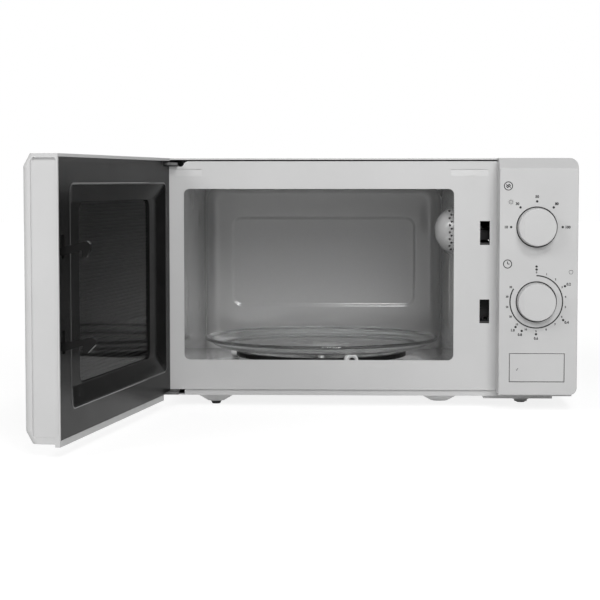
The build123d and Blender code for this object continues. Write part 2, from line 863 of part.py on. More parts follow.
# Steel door plate with the pivot ears, and the perforated screen behind it
view_x = (dish_left + dish_slope + view_margin_x, dish_right - dish_slope - view_margin_x)
view_z = (dish_bottom + dish_slope_low + view_margin_low, dish_top - dish_slope - view_margin_high)
view_size = (view_x[1] - view_x[0], view_z[1] - view_z[0])
view_at = (sum(view_x) / 2, sum(view_z) / 2)
ear_x = (hinge_x - pin_radius - fit_gap, hinge_x + ear_reach)
ear_y = around(hinge_y, 4 * pin_radius)
pin_notch = hinge_x + pin_radius + ear_gap
with BuildPart() as door_plate:
    block(
        (hollow_x[0] + fit_gap, hollow_x[1] - fit_gap),
        (door_plate_y, screen_y),
        (hollow_z[0] + fit_gap, hollow_z[1] - fit_gap),
    )
    with BuildSketch(Plane.XZ.offset(-screen_y)):
        with Locations(view_at):
            RectangleRounded(*view_size, dish_radius)
    extrude(amount=door_plate_sheet, mode=Mode.SUBTRACT)
    for level, edge in ((ear_high - ear_sheet, door_high), (door_low, ear_low + ear_sheet)):
        block((door_left, pin_notch), (door_plate_y, screen_y), (level, edge), Mode.SUBTRACT)
    for pocket_z in (upper_pocket, lower_pocket):
        block(pocket_x, (door_plate_y, screen_y), pocket_z, Mode.SUBTRACT)
    block(ear_x, ear_y, (ear_high - ear_sheet, ear_high))
    block(ear_x, ear_y, (ear_low, ear_low + ear_sheet))
    pin_run = (ear_low, ear_high)
    rod(pin_radius + run_fit, hinge_x, hinge_y, pin_run, Mode.SUBTRACT)
    anchor_z = spring_top - spring_length
    block(around(hook_x, hook_thick), (screen_y, bar_y[1]), (anchor_z - hook_thick, anchor_z))
write(door_plate, "door_plate", door_place)

mesh_columns = int((view_size[0] - mesh_pitch) / mesh_pitch)
mesh_rows = int((view_size[1] - mesh_pitch) / mesh_pitch)
with BuildPart() as door_screen:
    block(
        (view_x[0] - pane_lap, view_x[1] + pane_lap),
        (screen_y, film_y),
        (view_z[0] - pane_lap, view_z[1] + pane_lap),
    )
    with BuildSketch(Plane.XZ.offset(-film_y)):
        with Locations(view_at):
            with GridLocations(mesh_pitch, mesh_pitch, mesh_columns, mesh_rows):
                Circle(mesh_radius)
    extrude(amount=screen_thick, mode=Mode.SUBTRACT)
write(door_screen, "door_screen", door_place)

with BuildPart() as door_film:
    block(
        (view_x[0] - pane_lap, view_x[1] + pane_lap),
        (film_y, dish_back),
        (view_z[0] - pane_lap, view_z[1] + pane_lap),
    )
write(door_film, "door_film", door_place)

# Black inner frame with its sunken dish round the window
dish_size = (dish_right - dish_left, dish_top - dish_bottom)
dish_at = ((dish_left + dish_right) / 2, (dish_bottom + dish_top) / 2)
dish_floor_size = (dish_size[0] - 2 * dish_slope, dish_size[1] - dish_slope - dish_slope_low)
dish_floor_at = (dish_at[0], dish_at[1] + (dish_slope_low - dish_slope) / 2)
with BuildPart() as door_inner_frame:
    block(
        (door_left + frame_edge, door_right - free_lip - fit_gap), (rim_y, door_in), (black_low, black_high)
    )
    hinge_edges = door_inner_frame.edges().filter_by(Axis.Z).group_by(Axis.X)[0]
    fillet(hinge_edges.sort_by(Axis.Y)[-1], frame_thick - fit_gap)
    with BuildSketch(Plane.XZ.offset(-rim_y)):
        with Locations(dish_at):
            RectangleRounded(*dish_size, dish_radius)
    extrude(amount=rim_y - dish_back)
    with BuildSketch(Plane.XZ.offset(-door_in)):
        with Locations(dish_at):
            RectangleRounded(dish_size[0] - 2 * dish_wall, dish_size[1] - 2 * dish_wall, dish_radius)
    with BuildSketch(Plane.XZ.offset(-dish_floor)):
        with Locations(dish_floor_at):
            RectangleRounded(*dish_floor_size, dish_radius)
    loft(mode=Mode.SUBTRACT)
    mouth = door_inner_frame.faces().sort_by(Axis.Y)[-1].inner_wires()[0]
    fillet(mouth.edges(), dish_edge)
    with BuildSketch(Plane.XZ.offset(-dish_floor)):
        with Locations(view_at):
            RectangleRounded(*view_size, dish_radius)
    extrude(amount=dish_wall, mode=Mode.SUBTRACT)
    hook_slot_x = around(hook_x, hook_thick + 2 * hook_slack)
    for base in hook_bases:
        low = base + hook_root - hook_drop - seal_gap
        block(hook_slot_x, (rim_y, door_in), (low, low + hook_slot_height), Mode.SUBTRACT)
    block(pocket_x, pocket_y, upper_pocket, Mode.SUBTRACT)
    block(pocket_x, pocket_y, lower_pocket, Mode.SUBTRACT)
write(door_inner_frame, "door_inner_frame", door_place)

# Hinge brackets: a plate with the pin, and a tail screwed behind the front plate
bracket_x = (-hem_in, plate_left + bracket_inner)
tail_x = (plate_left + front_flange / 2, plate_left + bracket_inner)
tail_y = (plate_sheet, plate_sheet + bracket_sheet)
hinge_screw_x = sum(tail_x) / 2
levels = (("upper", bracket_high - bracket_sheet, -1), ("lower", bracket_low, 1))
for label, low, way in levels:
    high = low + bracket_sheet
    tail_end = high - bracket_tail if way < 0 else low + bracket_tail
    pin_end = low - pin_length if way < 0 else high + pin_length
    with BuildPart() as hinge:
        block((bracket_x[0], bracket_x[1]), (hinge_y, tail_y[1]), (low, high))
        rod(bracket_round, hinge_x, hinge_y, (low, high))
        block(tail_x, tail_y, tuple(sorted((high if way < 0 else low, tail_end))))
        rod(pin_radius, hinge_x, hinge_y, tuple(sorted((low if way < 0 else high, pin_end))))
    write(hinge, f"{label}_hinge")

with BuildPart() as hinge_screws:
    for z in (bracket_high - bracket_tail / 2, bracket_low + bracket_tail / 2):
        rod(screw_head, hinge_screw_x, (tail_y[1], tail_y[1] + screw_cap), z)
write(hinge_screws, "hinge_screws")

# Latch board behind the slots, with the ledges that the barbs drop behind
board_in = around(slot_x, 2 * latch_half)
board_out = around(slot_x, 2 * (latch_half + latch_wall))
board_y = (plate_sheet, plate_sheet + latch_plate)
ledges = [(base - roll_gap - ledge_height, base - roll_gap) for base in hook_bases]
board_low = ledges[1][0]
board_high = slots[0] + slot_height / 2 + latch_over
ear_drop = lever_z - 2 * lever_hub
with BuildPart() as latch_board:
    block(board_out, board_y, (board_low, board_high))
    for x in ((board_out[0], board_in[0]), (board_in[1], board_out[1])):
        block(x, (plate_sheet, latch_depth), (ear_drop, board_high))
    for ledge in ledges:
        block(board_in, (board_y[1], barb_in - ledge_play), ledge)
    rod(lever_pin, board_out, lever_y, lever_z)
    for z in slots:
        block(around(slot_x, slot_width), board_y, around(z, slot_height), Mode.SUBTRACT)
write(latch_board, "latch_board")

switch_front = door_in + hook_reach + lower_barb_extra + lever_tip
switch_mid = hook_bases[1] + hook_arm
switch_z = (hook_bases[0] + hook_arm, switch_mid, switch_mid + switch_height + roll_gap)
with BuildPart() as interlock_switches:
    for z in switch_z:
        body_x = (board_in[0] + screw_slack, board_in[1] - screw_slack)
        block(body_x, (switch_front, switch_front + switch_depth), around(z, switch_height))
write(interlock_switches, "interlock_switches")

# Lever: the button pushes its foot back, its finger lifts the lower hook
lever_x = (board_in[0] + lever_side, board_in[1] - lever_side)
arm_y = (lever_front, lever_front + lever_hub)
finger_top = hook_bases[1] - hook_drop - lever_spare
finger_y = (lever_y + lever_reach - lever_tip, lever_y + lever_reach)
with BuildPart() as button_lever:
    rod(lever_hub, lever_x, lever_y, lever_z)
    block(lever_x, arm_y, (stem_z - lever_hub, lever_z))
    block((lever_x[0], stem_x + stem_side), arm_y, around(stem_z, 2 * lever_hub))
    block(around(hook_x, hook_thick), (lever_y, finger_y[1]), around(lever_z, lever_hub))
    block(around(hook_x, hook_thick), finger_y, (lever_z, finger_top))
    rod(lever_pin + run_fit, lever_x, lever_y, lever_z, Mode.SUBTRACT)
write(button_lever, "button_lever")

# Turntable: glass tray, coupler, roller ring and its rollers
tray_flat = tray_radius - rim_run
ring_radius = tray_flat - ring_inset
roller_z = floor_rise + roll_gap + roller_radius
tray_low = roller_z + roller_radius + roll_gap
tray_top = tray_low + tray_thick
with BuildPart() as glass_tray:
    with BuildSketch(Plane(origin=(cav_x, tray_y, 0), x_dir=(1, 0, 0), z_dir=(0, -1, 0))):
        with BuildLine():
            Polyline(
                (0, tray_low),
                (tray_flat, tray_low),
                (tray_radius, tray_low + tray_rim),
                (tray_radius, tray_low + tray_rim + tray_thick),
                (tray_radius - tray_thick, tray_low + tray_rim + tray_thick),
                (tray_flat, tray_top),
                (0, tray_top),
                close=True,
            )
        make_face()
    revolve(axis=Axis((cav_x, tray_y, 0), (0, 0, 1)))
    fillet(glass_tray.edges().group_by(Axis.Z)[-1], tray_thick / 4)
write(glass_tray, "glass_tray")

motor_top = floor_rise - sheet
with BuildPart() as turntable_coupler:
    rod(coupler_radius / 2, cav_x, tray_y, (tray_low - coupler_height, tray_low))
    with Locations((cav_x, tray_y, tray_low - coupler_height / 2)):
        with PolarLocations(coupler_radius / 2, rollers):
            Box(coupler_radius, coupler_radius / 2, coupler_height)
    stub_z = (motor_top - motor_height / 2, tray_low - coupler_height)
    rod(coupler_stub, cav_x, tray_y, stub_z)
write(turntable_coupler, "turntable_coupler")

with BuildPart() as turntable_motor:
    rod(motor_radius, cav_x, tray_y, (motor_top - motor_height, motor_top))
    rod(coupler_stub + run_fit, cav_x, tray_y, (stub_z[0] - motor_gap, motor_top), Mode.SUBTRACT)
write(turntable_motor, "turntable_motor")

ring_in = ring_radius - roller_width / 2 - roll_gap
axle_out = ring_radius + roller_width / 2
spokes = []
for turn in range(rollers):
    angle = radians(roller_start + 360 / rollers * turn)
    outward = (cos(angle), sin(angle), 0)
    spokes.append(Plane(origin=(cav_x, tray_y, roller_z), x_dir=(0, 0, 1), z_dir=outward))
with BuildPart() as roller_ring:
    rod(ring_in, cav_x, tray_y, around(roller_z, ring_height))
    rod(ring_in - ring_width, cav_x, tray_y, around(roller_z, ring_height), Mode.SUBTRACT)
    for spoke in spokes:
        with BuildSketch(spoke.offset(ring_in - ring_width / 2)):
            Circle(axle_radius)
        extrude(amount=axle_out - ring_in + ring_width / 2)
write(roller_ring, "roller_ring")

for number, spoke in enumerate(spokes, 1):
    with BuildPart() as roller:
        with BuildSketch(spoke.offset(ring_radius - roller_width / 2)):
            Circle(roller_radius)
            Circle(axle_radius + run_fit, mode=Mode.SUBTRACT)
        extrude(amount=roller_width)
    write(roller, f"roller_{number}")

# Waveguide on the cavity wall, with its mica cover inside the cavity
guide_x = (wall_x, wall_x + guide_depth)
with BuildPart() as waveguide:
    block(guide_x, around(guide_y, guide_length), around(guide_z, guide_height))
    block(
        (guide_x[0], guide_x[1] - guide_wall),
        around(guide_y, guide_length - 2 * guide_wall),
        around(guide_z, guide_height - 2 * guide_wall),
        Mode.SUBTRACT,
    )
    rod(antenna_hole, (guide_x[1] - guide_wall, guide_x[1]), guide_y, guide_z, Mode.SUBTRACT)
write(waveguide, "waveguide")

with BuildPart() as waveguide_cover:
    block((cav_right - mica_thick, cav_right), around(guide_y, mica_length), around(guide_z, mica_height))
    fillet(waveguide_cover.edges().filter_by(Axis.X), opening_radius)
write(waveguide_cover, "waveguide_cover")

# Magnetron: yoke, anode with its fins and antenna, filter box
yoke_x = (guide_x[1], guide_x[1] + yoke_length)
anode_x = (yoke_x[0] + yoke_sheet, yoke_x[1] - yoke_sheet)
with BuildPart() as magnetron_yoke:
    block(yoke_x, around(guide_y, yoke_width), around(guide_z, yoke_height))
    block(
        anode_x,
        around(guide_y, yoke_width),
        around(guide_z, yoke_height - 2 * yoke_sheet),
        Mode.SUBTRACT,
    )
    rod(antenna_hole, (yoke_x[0], anode_x[0]), guide_y, guide_z, Mode.SUBTRACT)
write(magnetron_yoke, "magnetron_yoke")

fin_pitch = (anode_x[1] - anode_x[0]) / (fin_count + 1)
with BuildPart() as magnetron_anode:
    rod(anode_radius, anode_x, guide_y, guide_z)
    rod(antenna_radius, (anode_x[0] - antenna_length, anode_x[0]), guide_y, guide_z)
    for fin in range(1, fin_count + 1):
        block(
            around(anode_x[0] + fin * fin_pitch, fin_sheet),
            around(guide_y, yoke_width - fin_margin),
            around(guide_z, yoke_height - 2 * yoke_sheet - fin_margin),
        )
write(magnetron_anode, "magnetron_anode")

with BuildPart() as magnetron_filter_box:
    filter_x = (yoke_x[1], yoke_x[1] + filter_depth)
    block(filter_x, around(guide_y, filter_width), around(guide_z, filter_height))
    fillet(magnetron_filter_box.edges().filter_by(Axis.X), opening_radius / 2)
write(magnetron_filter_box, "magnetron_filter_box")

# Transformer: laminated core with two windings round its middle leg
core_mid = wall_x + core_x + core_width / 2
core_z = (base_top, base_top + core_height)
window_x = (core_leg / 2, core_leg / 2 + core_window)
with BuildPart() as transformer_core:
    block(around(core_mid, core_width), around(core_y, core_depth), core_z)
    for side in (-1, 1):
        block(
            tuple(sorted((core_mid + side * window_x[0], core_mid + side * window_x[1]))),
            around(core_y, core_depth),
            (core_z[0] + core_yoke, core_z[1] - core_yoke),
            Mode.SUBTRACT,
        )
write(transformer_core, "transformer_core")

coil_room = core_height - 2 * core_yoke - coil_gap
coil_low = core_z[0] + core_yoke
coils = {
    "primary_winding": (coil_low, coil_low + coil_room / 2),
    "secondary_winding": (coil_low + coil_room / 2 + coil_gap, core_z[1] - core_yoke),
}
for label, coil_z in coils.items():
    with BuildPart() as winding:
        block(
            around(core_mid, 2 * (window_x[1] - coil_fit)),
            around(core_y, core_depth + 2 * coil_overhang),
            coil_z,
        )
        fillet(winding.edges().filter_by(Axis.Z), coil_overhang / 2)
        block(
            around(core_mid, core_leg + 2 * coil_fit),
            around(core_y, core_depth + 2 * coil_fit),
            coil_z,
            Mode.SUBTRACT,
        )
    write(winding, label)

# Capacitor on the base, held by a strap, and the diode beside it
can_x_span = (wall_x + can_x, wall_x + can_x + can_length)
can_z = (base_top, base_top + can_height)
clamp_x = around(sum(can_x_span) / 2, clamp_width)
with BuildPart() as capacitor:
    block(can_x_span, around(can_y, can_width), can_z)
    fillet(capacitor.edges().filter_by(Axis.X), can_width / 3)
write(capacitor, "capacitor")

with BuildPart() as capacitor_clamp:
    block(clamp_x, around(can_y, can_width + 2 * clamp_sheet), (can_z[0], can_z[1] + clamp_sheet))
    block(clamp_x, around(can_y, can_width), can_z, Mode.SUBTRACT)
    block(clamp_x, around(can_y, can_width + 2 * clamp_foot), (can_z[0], can_z[0] + clamp_sheet))
    block(clamp_x, around(can_y, can_width), (can_z[0], can_z[0] + clamp_sheet), Mode.SUBTRACT)
write(capacitor_clamp, "capacitor_clamp")

with BuildPart() as high_voltage_diode:
    diode_x = (can_x_span[0], can_x_span[0] + diode_length)
    rod(diode_radius, diode_x, diode_y, base_top + diode_radius)
write(high_voltage_diode, "high_voltage_diode")

# Mains filter board on stand-offs, and the cable gland
board_z = around(cab_top - board_drop / 2, board_height)
board_x = around(wall_x + fan_x, board_width)
board_face = inner_rear - board_stand - board_sheet
with BuildPart() as filter_board:
    block(board_x, (board_face, board_face + board_sheet), board_z)
    for x in (board_x[0] + fuse_radius, board_x[1] - fuse_radius):
        for z in (board_z[0] + fuse_radius, board_z[1] - fuse_radius):
            rod(fuse_radius, x, (board_face + board_sheet, inner_rear), z)
    board_mid = sum(board_x) / 2
    fuse_y = board_face - fuse_radius + fit_gap
    rod(fuse_radius, around(board_mid, board_width / 3), fuse_y, board_z[0] + clamp_foot)
    rod(clamp_foot, board_mid, (board_face - clamp_foot, board_face), board_z[1] - clamp_foot)
write(filter_board, "filter_board")

with BuildPart() as cord_gland:
    rod(gland_radius, gland_at[0], (inner_rear - gland_proud, rear_y), gland_at[1])
    rod(gland_flange, gland_at[0], (rear_y, rear_y + gland_proud), gland_at[1])
    fillet(cord_gland.faces().sort_by(Axis.Y)[-1].edges(), gland_proud / 4)
    bore_y = (inner_rear - gland_proud, rear_y + gland_proud)
    rod(gland_bore, gland_at[0], bore_y, gland_at[1], Mode.SUBTRACT)
write(cord_gland, "cord_gland")

with BuildPart() as rear_screws:
    for x, z in screw_places:
        rod(screw_head, x, (rear_y, rear_y + screw_cap), z)
        rod(screw_radius, x, (inner_rear, rear_y), z)
write(rear_screws, "rear_screws")

# Cooling fan: shroud, blade wheel on its shaft, and the motor on the rear panel
shroud_y = rear_y - shroud_from_rear
motor_front = inner_rear - motor_stand - motor_deep
blade_y = shroud_y + shroud_sheet + roll_gap
with BuildPart() as fan_shroud:
    block((wall_x, side_in), (shroud_y, shroud_y + shroud_sheet), (shroud_low, shroud_high))
    shroud_end = shroud_y + shroud_sheet + shroud_ring
    shroud_radius = fan_radius + shroud_gap
    rod(shroud_radius + shroud_sheet, fan_at[0], (shroud_y, shroud_end), fan_at[1])
    rod(shroud_radius, fan_at[0], (shroud_y, shroud_end), fan_at[1], Mode.SUBTRACT)
write(fan_shroud, "fan_shroud")

with BuildPart() as fan_blade:
    rod(fan_hub, fan_at[0], (blade_y, blade_y + fan_width), fan_at[1])
    hub_at = (fan_at[0], blade_y + fan_width / 2, fan_at[1])
    with Locations(Plane(origin=hub_at, x_dir=(1, 0, 0), z_dir=(0, -1, 0))):
        with PolarLocations((fan_hub + fan_radius) / 2, fan_blades):
            Box(fan_radius - fan_hub + fan_shaft, 2 * fan_hub, shroud_sheet, rotation=(blade_pitch, 0, 0))
    rod(fan_shaft, fan_at[0], (blade_y, motor_front + motor_deep / 2), fan_at[1])
write(fan_blade, "fan_blade")

with BuildPart() as fan_motor:
    motor_y = (motor_front, motor_front + motor_deep)
    block(around(fan_at[0], motor_side), motor_y, around(fan_at[1], motor_side))
    fillet(fan_motor.edges().filter_by(Axis.Y), opening_radius)
    for side in (-1, 1):
        post_x = fan_at[0] + side * motor_side / 3
        rod(post_radius, post_x, (motor_y[1], inner_rear), fan_at[1])
    shaft_room = (motor_front, motor_front + motor_deep / 2 + motor_gap)
    rod(fan_shaft + run_fit, fan_at[0], shaft_room, fan_at[1], Mode.SUBTRACT)
write(fan_motor, "fan_motor")

# Cavity lamp in its holder, and the thermal cut-out
bulb_x = wall_x + lamp_x
base_y = (lamp_y, lamp_y + bulb_base_length)
with BuildPart() as cavity_lamp:
    rod(bulb_base_radius, bulb_x, base_y, lamp_z)
    with Locations((bulb_x, lamp_y, lamp_z)):
        Sphere(bulb_radius)
write(cavity_lamp, "cavity_lamp")

holder_y = (lamp_y + bulb_radius, base_y[1] + holder_plate)
socket_radius = bulb_base_radius + holder_wall
with BuildPart() as lamp_holder:
    rod(socket_radius, bulb_x, holder_y, lamp_z)
    block((wall_x, bulb_x), (base_y[1], holder_y[1]), around(lamp_z, 2 * socket_radius))
    rod(bulb_base_radius + run_fit, bulb_x, (holder_y[0], base_y[1]), lamp_z, Mode.SUBTRACT)
write(lamp_holder, "lamp_holder")

with BuildPart() as thermal_cutout:
    rod(cutout_radius, (wall_x, wall_x + cutout_depth), cutout_y, cutout_z)
    ears_y = around(cutout_y, 3 * cutout_radius)
    block((wall_x, wall_x + guide_wall), ears_y, around(cutout_z, cutout_radius))
write(thermal_cutout, "thermal_cutout")
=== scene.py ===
import json
import math
import bmesh
import bpy
import numpy as np
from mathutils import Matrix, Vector


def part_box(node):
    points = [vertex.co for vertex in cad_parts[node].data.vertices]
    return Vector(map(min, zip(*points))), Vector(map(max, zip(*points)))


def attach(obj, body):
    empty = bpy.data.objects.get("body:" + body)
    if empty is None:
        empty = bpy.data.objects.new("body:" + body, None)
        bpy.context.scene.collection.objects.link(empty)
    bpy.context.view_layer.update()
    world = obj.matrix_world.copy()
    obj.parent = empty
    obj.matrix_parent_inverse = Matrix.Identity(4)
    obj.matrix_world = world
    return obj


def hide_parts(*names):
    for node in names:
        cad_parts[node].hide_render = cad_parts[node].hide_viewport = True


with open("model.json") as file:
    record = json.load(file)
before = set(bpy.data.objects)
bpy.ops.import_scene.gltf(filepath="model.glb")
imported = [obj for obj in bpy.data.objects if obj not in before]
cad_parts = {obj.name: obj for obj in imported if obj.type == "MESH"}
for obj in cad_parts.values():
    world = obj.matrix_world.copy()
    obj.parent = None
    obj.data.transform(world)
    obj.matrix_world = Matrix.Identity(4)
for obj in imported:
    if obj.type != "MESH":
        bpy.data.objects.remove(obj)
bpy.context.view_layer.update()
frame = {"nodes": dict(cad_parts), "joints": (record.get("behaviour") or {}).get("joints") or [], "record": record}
nodes = frame["nodes"]
record = frame["record"]
joints = {joint["name"]: joint for joint in frame["joints"]}
scene = bpy.context.scene
print("frame loaded:", len(nodes), "nodes")


# Node helpers: each one adds a node, sets its fixed values and returns what the next one needs
def addNode(tree, kind, values=None, **settings):
    node = tree.nodes.new(kind)
    for key, value in settings.items():
        setattr(node, key, value)
    for key, value in (values or {}).items():
        node.inputs[key].default_value = value
    return node


def startMaterial(name, values):
    material = bpy.data.materials.new(name)
    material.use_nodes = True
    tree = material.node_tree
    shader = tree.nodes["Principled BSDF"]
    for key, value in values.items():
        shader.inputs[key].default_value = value
    coord = addNode(tree, "ShaderNodeTexCoord")
    return material, tree, shader, coord.outputs["Object"]


def ramp(tree, source, socket, stops):
    # stops are the ramp's two (position, colour) pairs
    node = addNode(tree, "ShaderNodeValToRGB")
    for element, (position, colour) in zip(node.color_ramp.elements, stops):
        element.position = position
        element.color = (*colour, 1)
    tree.links.new(source, node.inputs["Fac"])
    tree.links.new(node.outputs["Color"], socket)


# Part of the noise's range that a colour or a gloss runs over, and how fine the noise is
noiseUse = {"colour": (0.32, 0.68), "gloss": (0.3, 0.7), "detail": 3.0, "colourDetail": 4.0, "rough": 0.55}


def noise(tree, place, scale, detail=noiseUse["detail"]):
    values = {"Scale": scale, "Detail": detail, "Roughness": noiseUse["rough"]}
    node = addNode(tree, "ShaderNodeTexNoise", values)
    tree.links.new(place, node.inputs["Vector"])
    return node.outputs["Fac"]


def mottle(tree, place, scale, dark, light, socket):
    # Noise spread between two colours
    first, last = noiseUse["colour"]
    ramp(tree, noise(tree, place, scale, noiseUse["colourDetail"]), socket, ((first, dark), (last, light)))


def gloss(tree, place, shader, scale, low, high):
    # Noise spread between two roughness values
    first, last = noiseUse["gloss"]
    limits = {"From Min": first, "From Max": last, "To Min": low, "To Max": high}
    spread = addNode(tree, "ShaderNodeMapRange", limits)
    tree.links.new(noise(tree, place, scale), spread.inputs["Value"])
    tree.links.new(spread.outputs["Result"], shader.inputs["Roughness"])


def grainBump(tree, height, shader, strength, distance):
    bump = addNode(tree, "ShaderNodeBump", {"Strength": strength, "Distance": distance})
    tree.links.new(height, bump.inputs["Height"])
    tree.links.new(bump.outputs["Normal"], shader.inputs["Normal"])


def grey(level):
    return (level, level, level)


# Opaque finishes: a mottled colour, a roughness that wanders, and a grain that lifts the surface.
# cloud, haze and grain are noise scales per metre; lift is the grain's strength and height
opaque = {
    "whitePlastic": {"dark": grey(0.52), "light": grey(0.55), "cloud": 14.0, "rough": (0.40, 0.50),
                     "haze": 60.0, "grain": 2600.0, "lift": (0.12, 0.00005), "fixed": {"IOR": 1.49}},
    "whiteEnamel": {"dark": grey(0.57), "light": grey(0.60), "cloud": 9.0, "rough": (0.30, 0.40),
                    "haze": 40.0, "grain": 420.0, "lift": (0.08, 0.0002),
                    "fixed": {"IOR": 1.5, "Specular IOR Level": 0.3}},
    "cavityEnamel": {"dark": grey(0.44), "light": grey(0.48), "cloud": 1500.0, "rough": (0.14, 0.20),
                     "haze": 12.0, "grain": 300.0, "lift": (0.06, 0.0002),
                     "fixed": {"IOR": 1.5, "Coat Weight": 0.3, "Coat Roughness": 0.06}},
    "blackPlastic": {"dark": grey(0.008), "light": grey(0.012), "cloud": 40.0, "rough": (0.17, 0.24),
                     "haze": 25.0, "grain": 900.0, "lift": (0.05, 0.0001),
                     "fixed": {"IOR": 1.5, "Specular IOR Level": 0.05}},
    "lipGloss": {"dark": grey(0.008), "light": grey(0.012), "cloud": 40.0, "rough": (0.08, 0.12),
                 "haze": 25.0, "grain": 900.0, "lift": (0.03, 0.0001), "fixed": {"IOR": 1.5}},
    "innerPlastic": {"dark": grey(0.012), "light": grey(0.022), "cloud": 70.0, "rough": (0.5, 0.65),
                     "haze": 80.0, "grain": 1800.0, "lift": (0.15, 0.0001), "fixed": {"IOR": 1.5}},
    "blackEnamel": {"dark": grey(0.010), "light": grey(0.016), "cloud": 120.0, "rough": (0.45, 0.55),
                    "haze": 60.0, "grain": 700.0, "lift": (0.06, 0.0001),
                    "fixed": {"IOR": 1.5, "Specular IOR Level": 0.3}},
    "panelInk": {"dark": grey(0.010), "light": grey(0.018), "cloud": 900.0, "rough": (0.55, 0.65),
                 "haze": 200.0, "grain": 3000.0, "lift": (0.1, 0.00002), "fixed": {"IOR": 1.45}},
    "rubber": {"dark": grey(0.008), "light": grey(0.020), "cloud": 300.0, "rough": (0.7, 0.85),
               "haze": 150.0, "grain": 1500.0, "lift": (0.2, 0.0001), "fixed": {"IOR": 1.5}},
    "mica": {"dark": (0.30, 0.30, 0.295), "light": (0.38, 0.38, 0.37), "cloud": 220.0, "rough": (0.35, 0.55),
             "haze": 110.0, "grain": 1100.0, "lift": (0.2, 0.0001), "fixed": {"IOR": 1.5}},
    "boardResin": {"dark": (0.02, 0.08, 0.03), "light": (0.03, 0.12, 0.04), "cloud": 120.0,
                   "rough": (0.35, 0.5), "haze": 60.0, "grain": 600.0, "lift": (0.2, 0.0001),
                   "fixed": {"IOR": 1.5}},
}


def opaqueMaterial(name):
    d = opaque[name]
    material, tree, shader, place = startMaterial(name, d["fixed"])
    mottle(tree, place, d["cloud"], d["dark"], d["light"], shader.inputs["Base Color"])
    gloss(tree, place, shader, d["haze"], *d["rough"])
    grainBump(tree, noise(tree, place, d["grain"]), shader, *d["lift"])
    return material


# Clear pieces: pane, film, tray and bulb differ in tint, haze and body. Each tint clouds over to a darker
# share of itself, and the roughness wanders between two shares of its own value on a finer scale
clear = {
    "windowGlass": {"tint": grey(0.20), "rough": 0.03, "ior": 1.45, "streak": 25.0},
    "clearFilm": {"tint": grey(0.60), "rough": 0.04, "ior": 1.20, "streak": 18.0},
    "trayGlass": {"tint": (0.93, 0.945, 0.94), "rough": 0.03, "ior": 1.5, "streak": 12.0, "body": 0.92},
    "lampGlass": {"tint": (0.90, 0.90, 0.87), "rough": 0.25, "ior": 1.5, "streak": 60.0},
}
clearVary = {"darker": 0.93, "finer": 3, "rough": (0.6, 1.4)}


def clearMaterial(name):
    d = clear[name]
    fixed = {"Transmission Weight": 1.0, "IOR": d["ior"], "Alpha": d.get("body", 1.0)}
    material, tree, shader, place = startMaterial(name, fixed)
    darker = tuple(clearVary["darker"] * level for level in d["tint"])
    mottle(tree, place, d["streak"], darker, d["tint"], shader.inputs["Base Color"])
    low, high = (share * d["rough"] for share in clearVary["rough"])
    gloss(tree, place, shader, clearVary["finer"] * d["streak"], low, high)
    return material


# Metals: two tones in cells of the metal's own spangle size, a roughness that follows it, a finer grain
metals = {
    "zincSteel": {"dark": (0.44, 0.44, 0.45), "light": (0.53, 0.53, 0.54), "rough": (0.34, 0.5),
                  "cell": 240.0},
    "hingeSteel": {"dark": grey(0.10), "light": grey(0.16), "rough": (0.35, 0.5), "cell": 500.0},
    "aluminium": {"dark": grey(0.62), "light": grey(0.72), "rough": (0.25, 0.38), "cell": 400.0},
    "copper": {"dark": (0.42, 0.17, 0.07), "light": (0.60, 0.27, 0.12), "rough": (0.28, 0.4), "cell": 300.0},
    "lamination": {"dark": grey(0.06), "light": grey(0.12), "rough": (0.4, 0.6), "cell": 500.0},
}
metalGrain = {"finer": 6, "lift": (0.08, 0.0001)}


def metalMaterial(name):
    d = metals[name]
    material, tree, shader, place = startMaterial(name, {"Metallic": 1.0})
    cells = addNode(tree, "ShaderNodeTexVoronoi", {"Scale": d["cell"], "Randomness": 1.0})
    tree.links.new(place, cells.inputs["Vector"])
    ramp(tree, cells.outputs["Color"], shader.inputs["Base Color"], ((0.0, d["dark"]), (1.0, d["light"])))
    gloss(tree, place, shader, d["cell"], *d["rough"])
    grainBump(tree, noise(tree, place, metalGrain["finer"] * d["cell"]), shader, *metalGrain["lift"])
    return material


finishes = {
    "white_plastic": opaqueMaterial("whitePlastic"),
    "white_enamel": opaqueMaterial("whiteEnamel"),
    "cavity_enamel": opaqueMaterial("cavityEnamel"),
    "black_plastic": opaqueMaterial("blackPlastic"),
    "inner_plastic": opaqueMaterial("innerPlastic"),
    "black_enamel": opaqueMaterial("blackEnamel"),
    "rubber": opaqueMaterial("rubber"),
    "mica": opaqueMaterial("mica"),
    "board_resin": opaqueMaterial("boardResin"),
    "window_glass": clearMaterial("windowGlass"),
    "clear_film": clearMaterial("clearFilm"),
    "tray_glass": clearMaterial("trayGlass"),
    "lamp_glass": clearMaterial("lampGlass"),
    "zinc_steel": metalMaterial("zincSteel"),
    "copper": metalMaterial("copper"),
    "aluminium": metalMaterial("aluminium"),
    "lamination": metalMaterial("lamination"),
}
panelInk = opaqueMaterial("panelInk")
lipGloss = opaqueMaterial("lipGloss")
ownFinish = {"upper_hinge": metalMaterial("hingeSteel")}  # nodes that differ from their slot's finish
ownFinish["lower_hinge"] = ownFinish["upper_hinge"]
for subpart in record["subparts"]:
    node = nodes[subpart["node"]]
    node.data.materials.clear()
    node.data.materials.append(ownFinish.get(subpart["node"], finishes[subpart["material_slot"]]))
print("finishes on", len(record["subparts"]), "nodes")


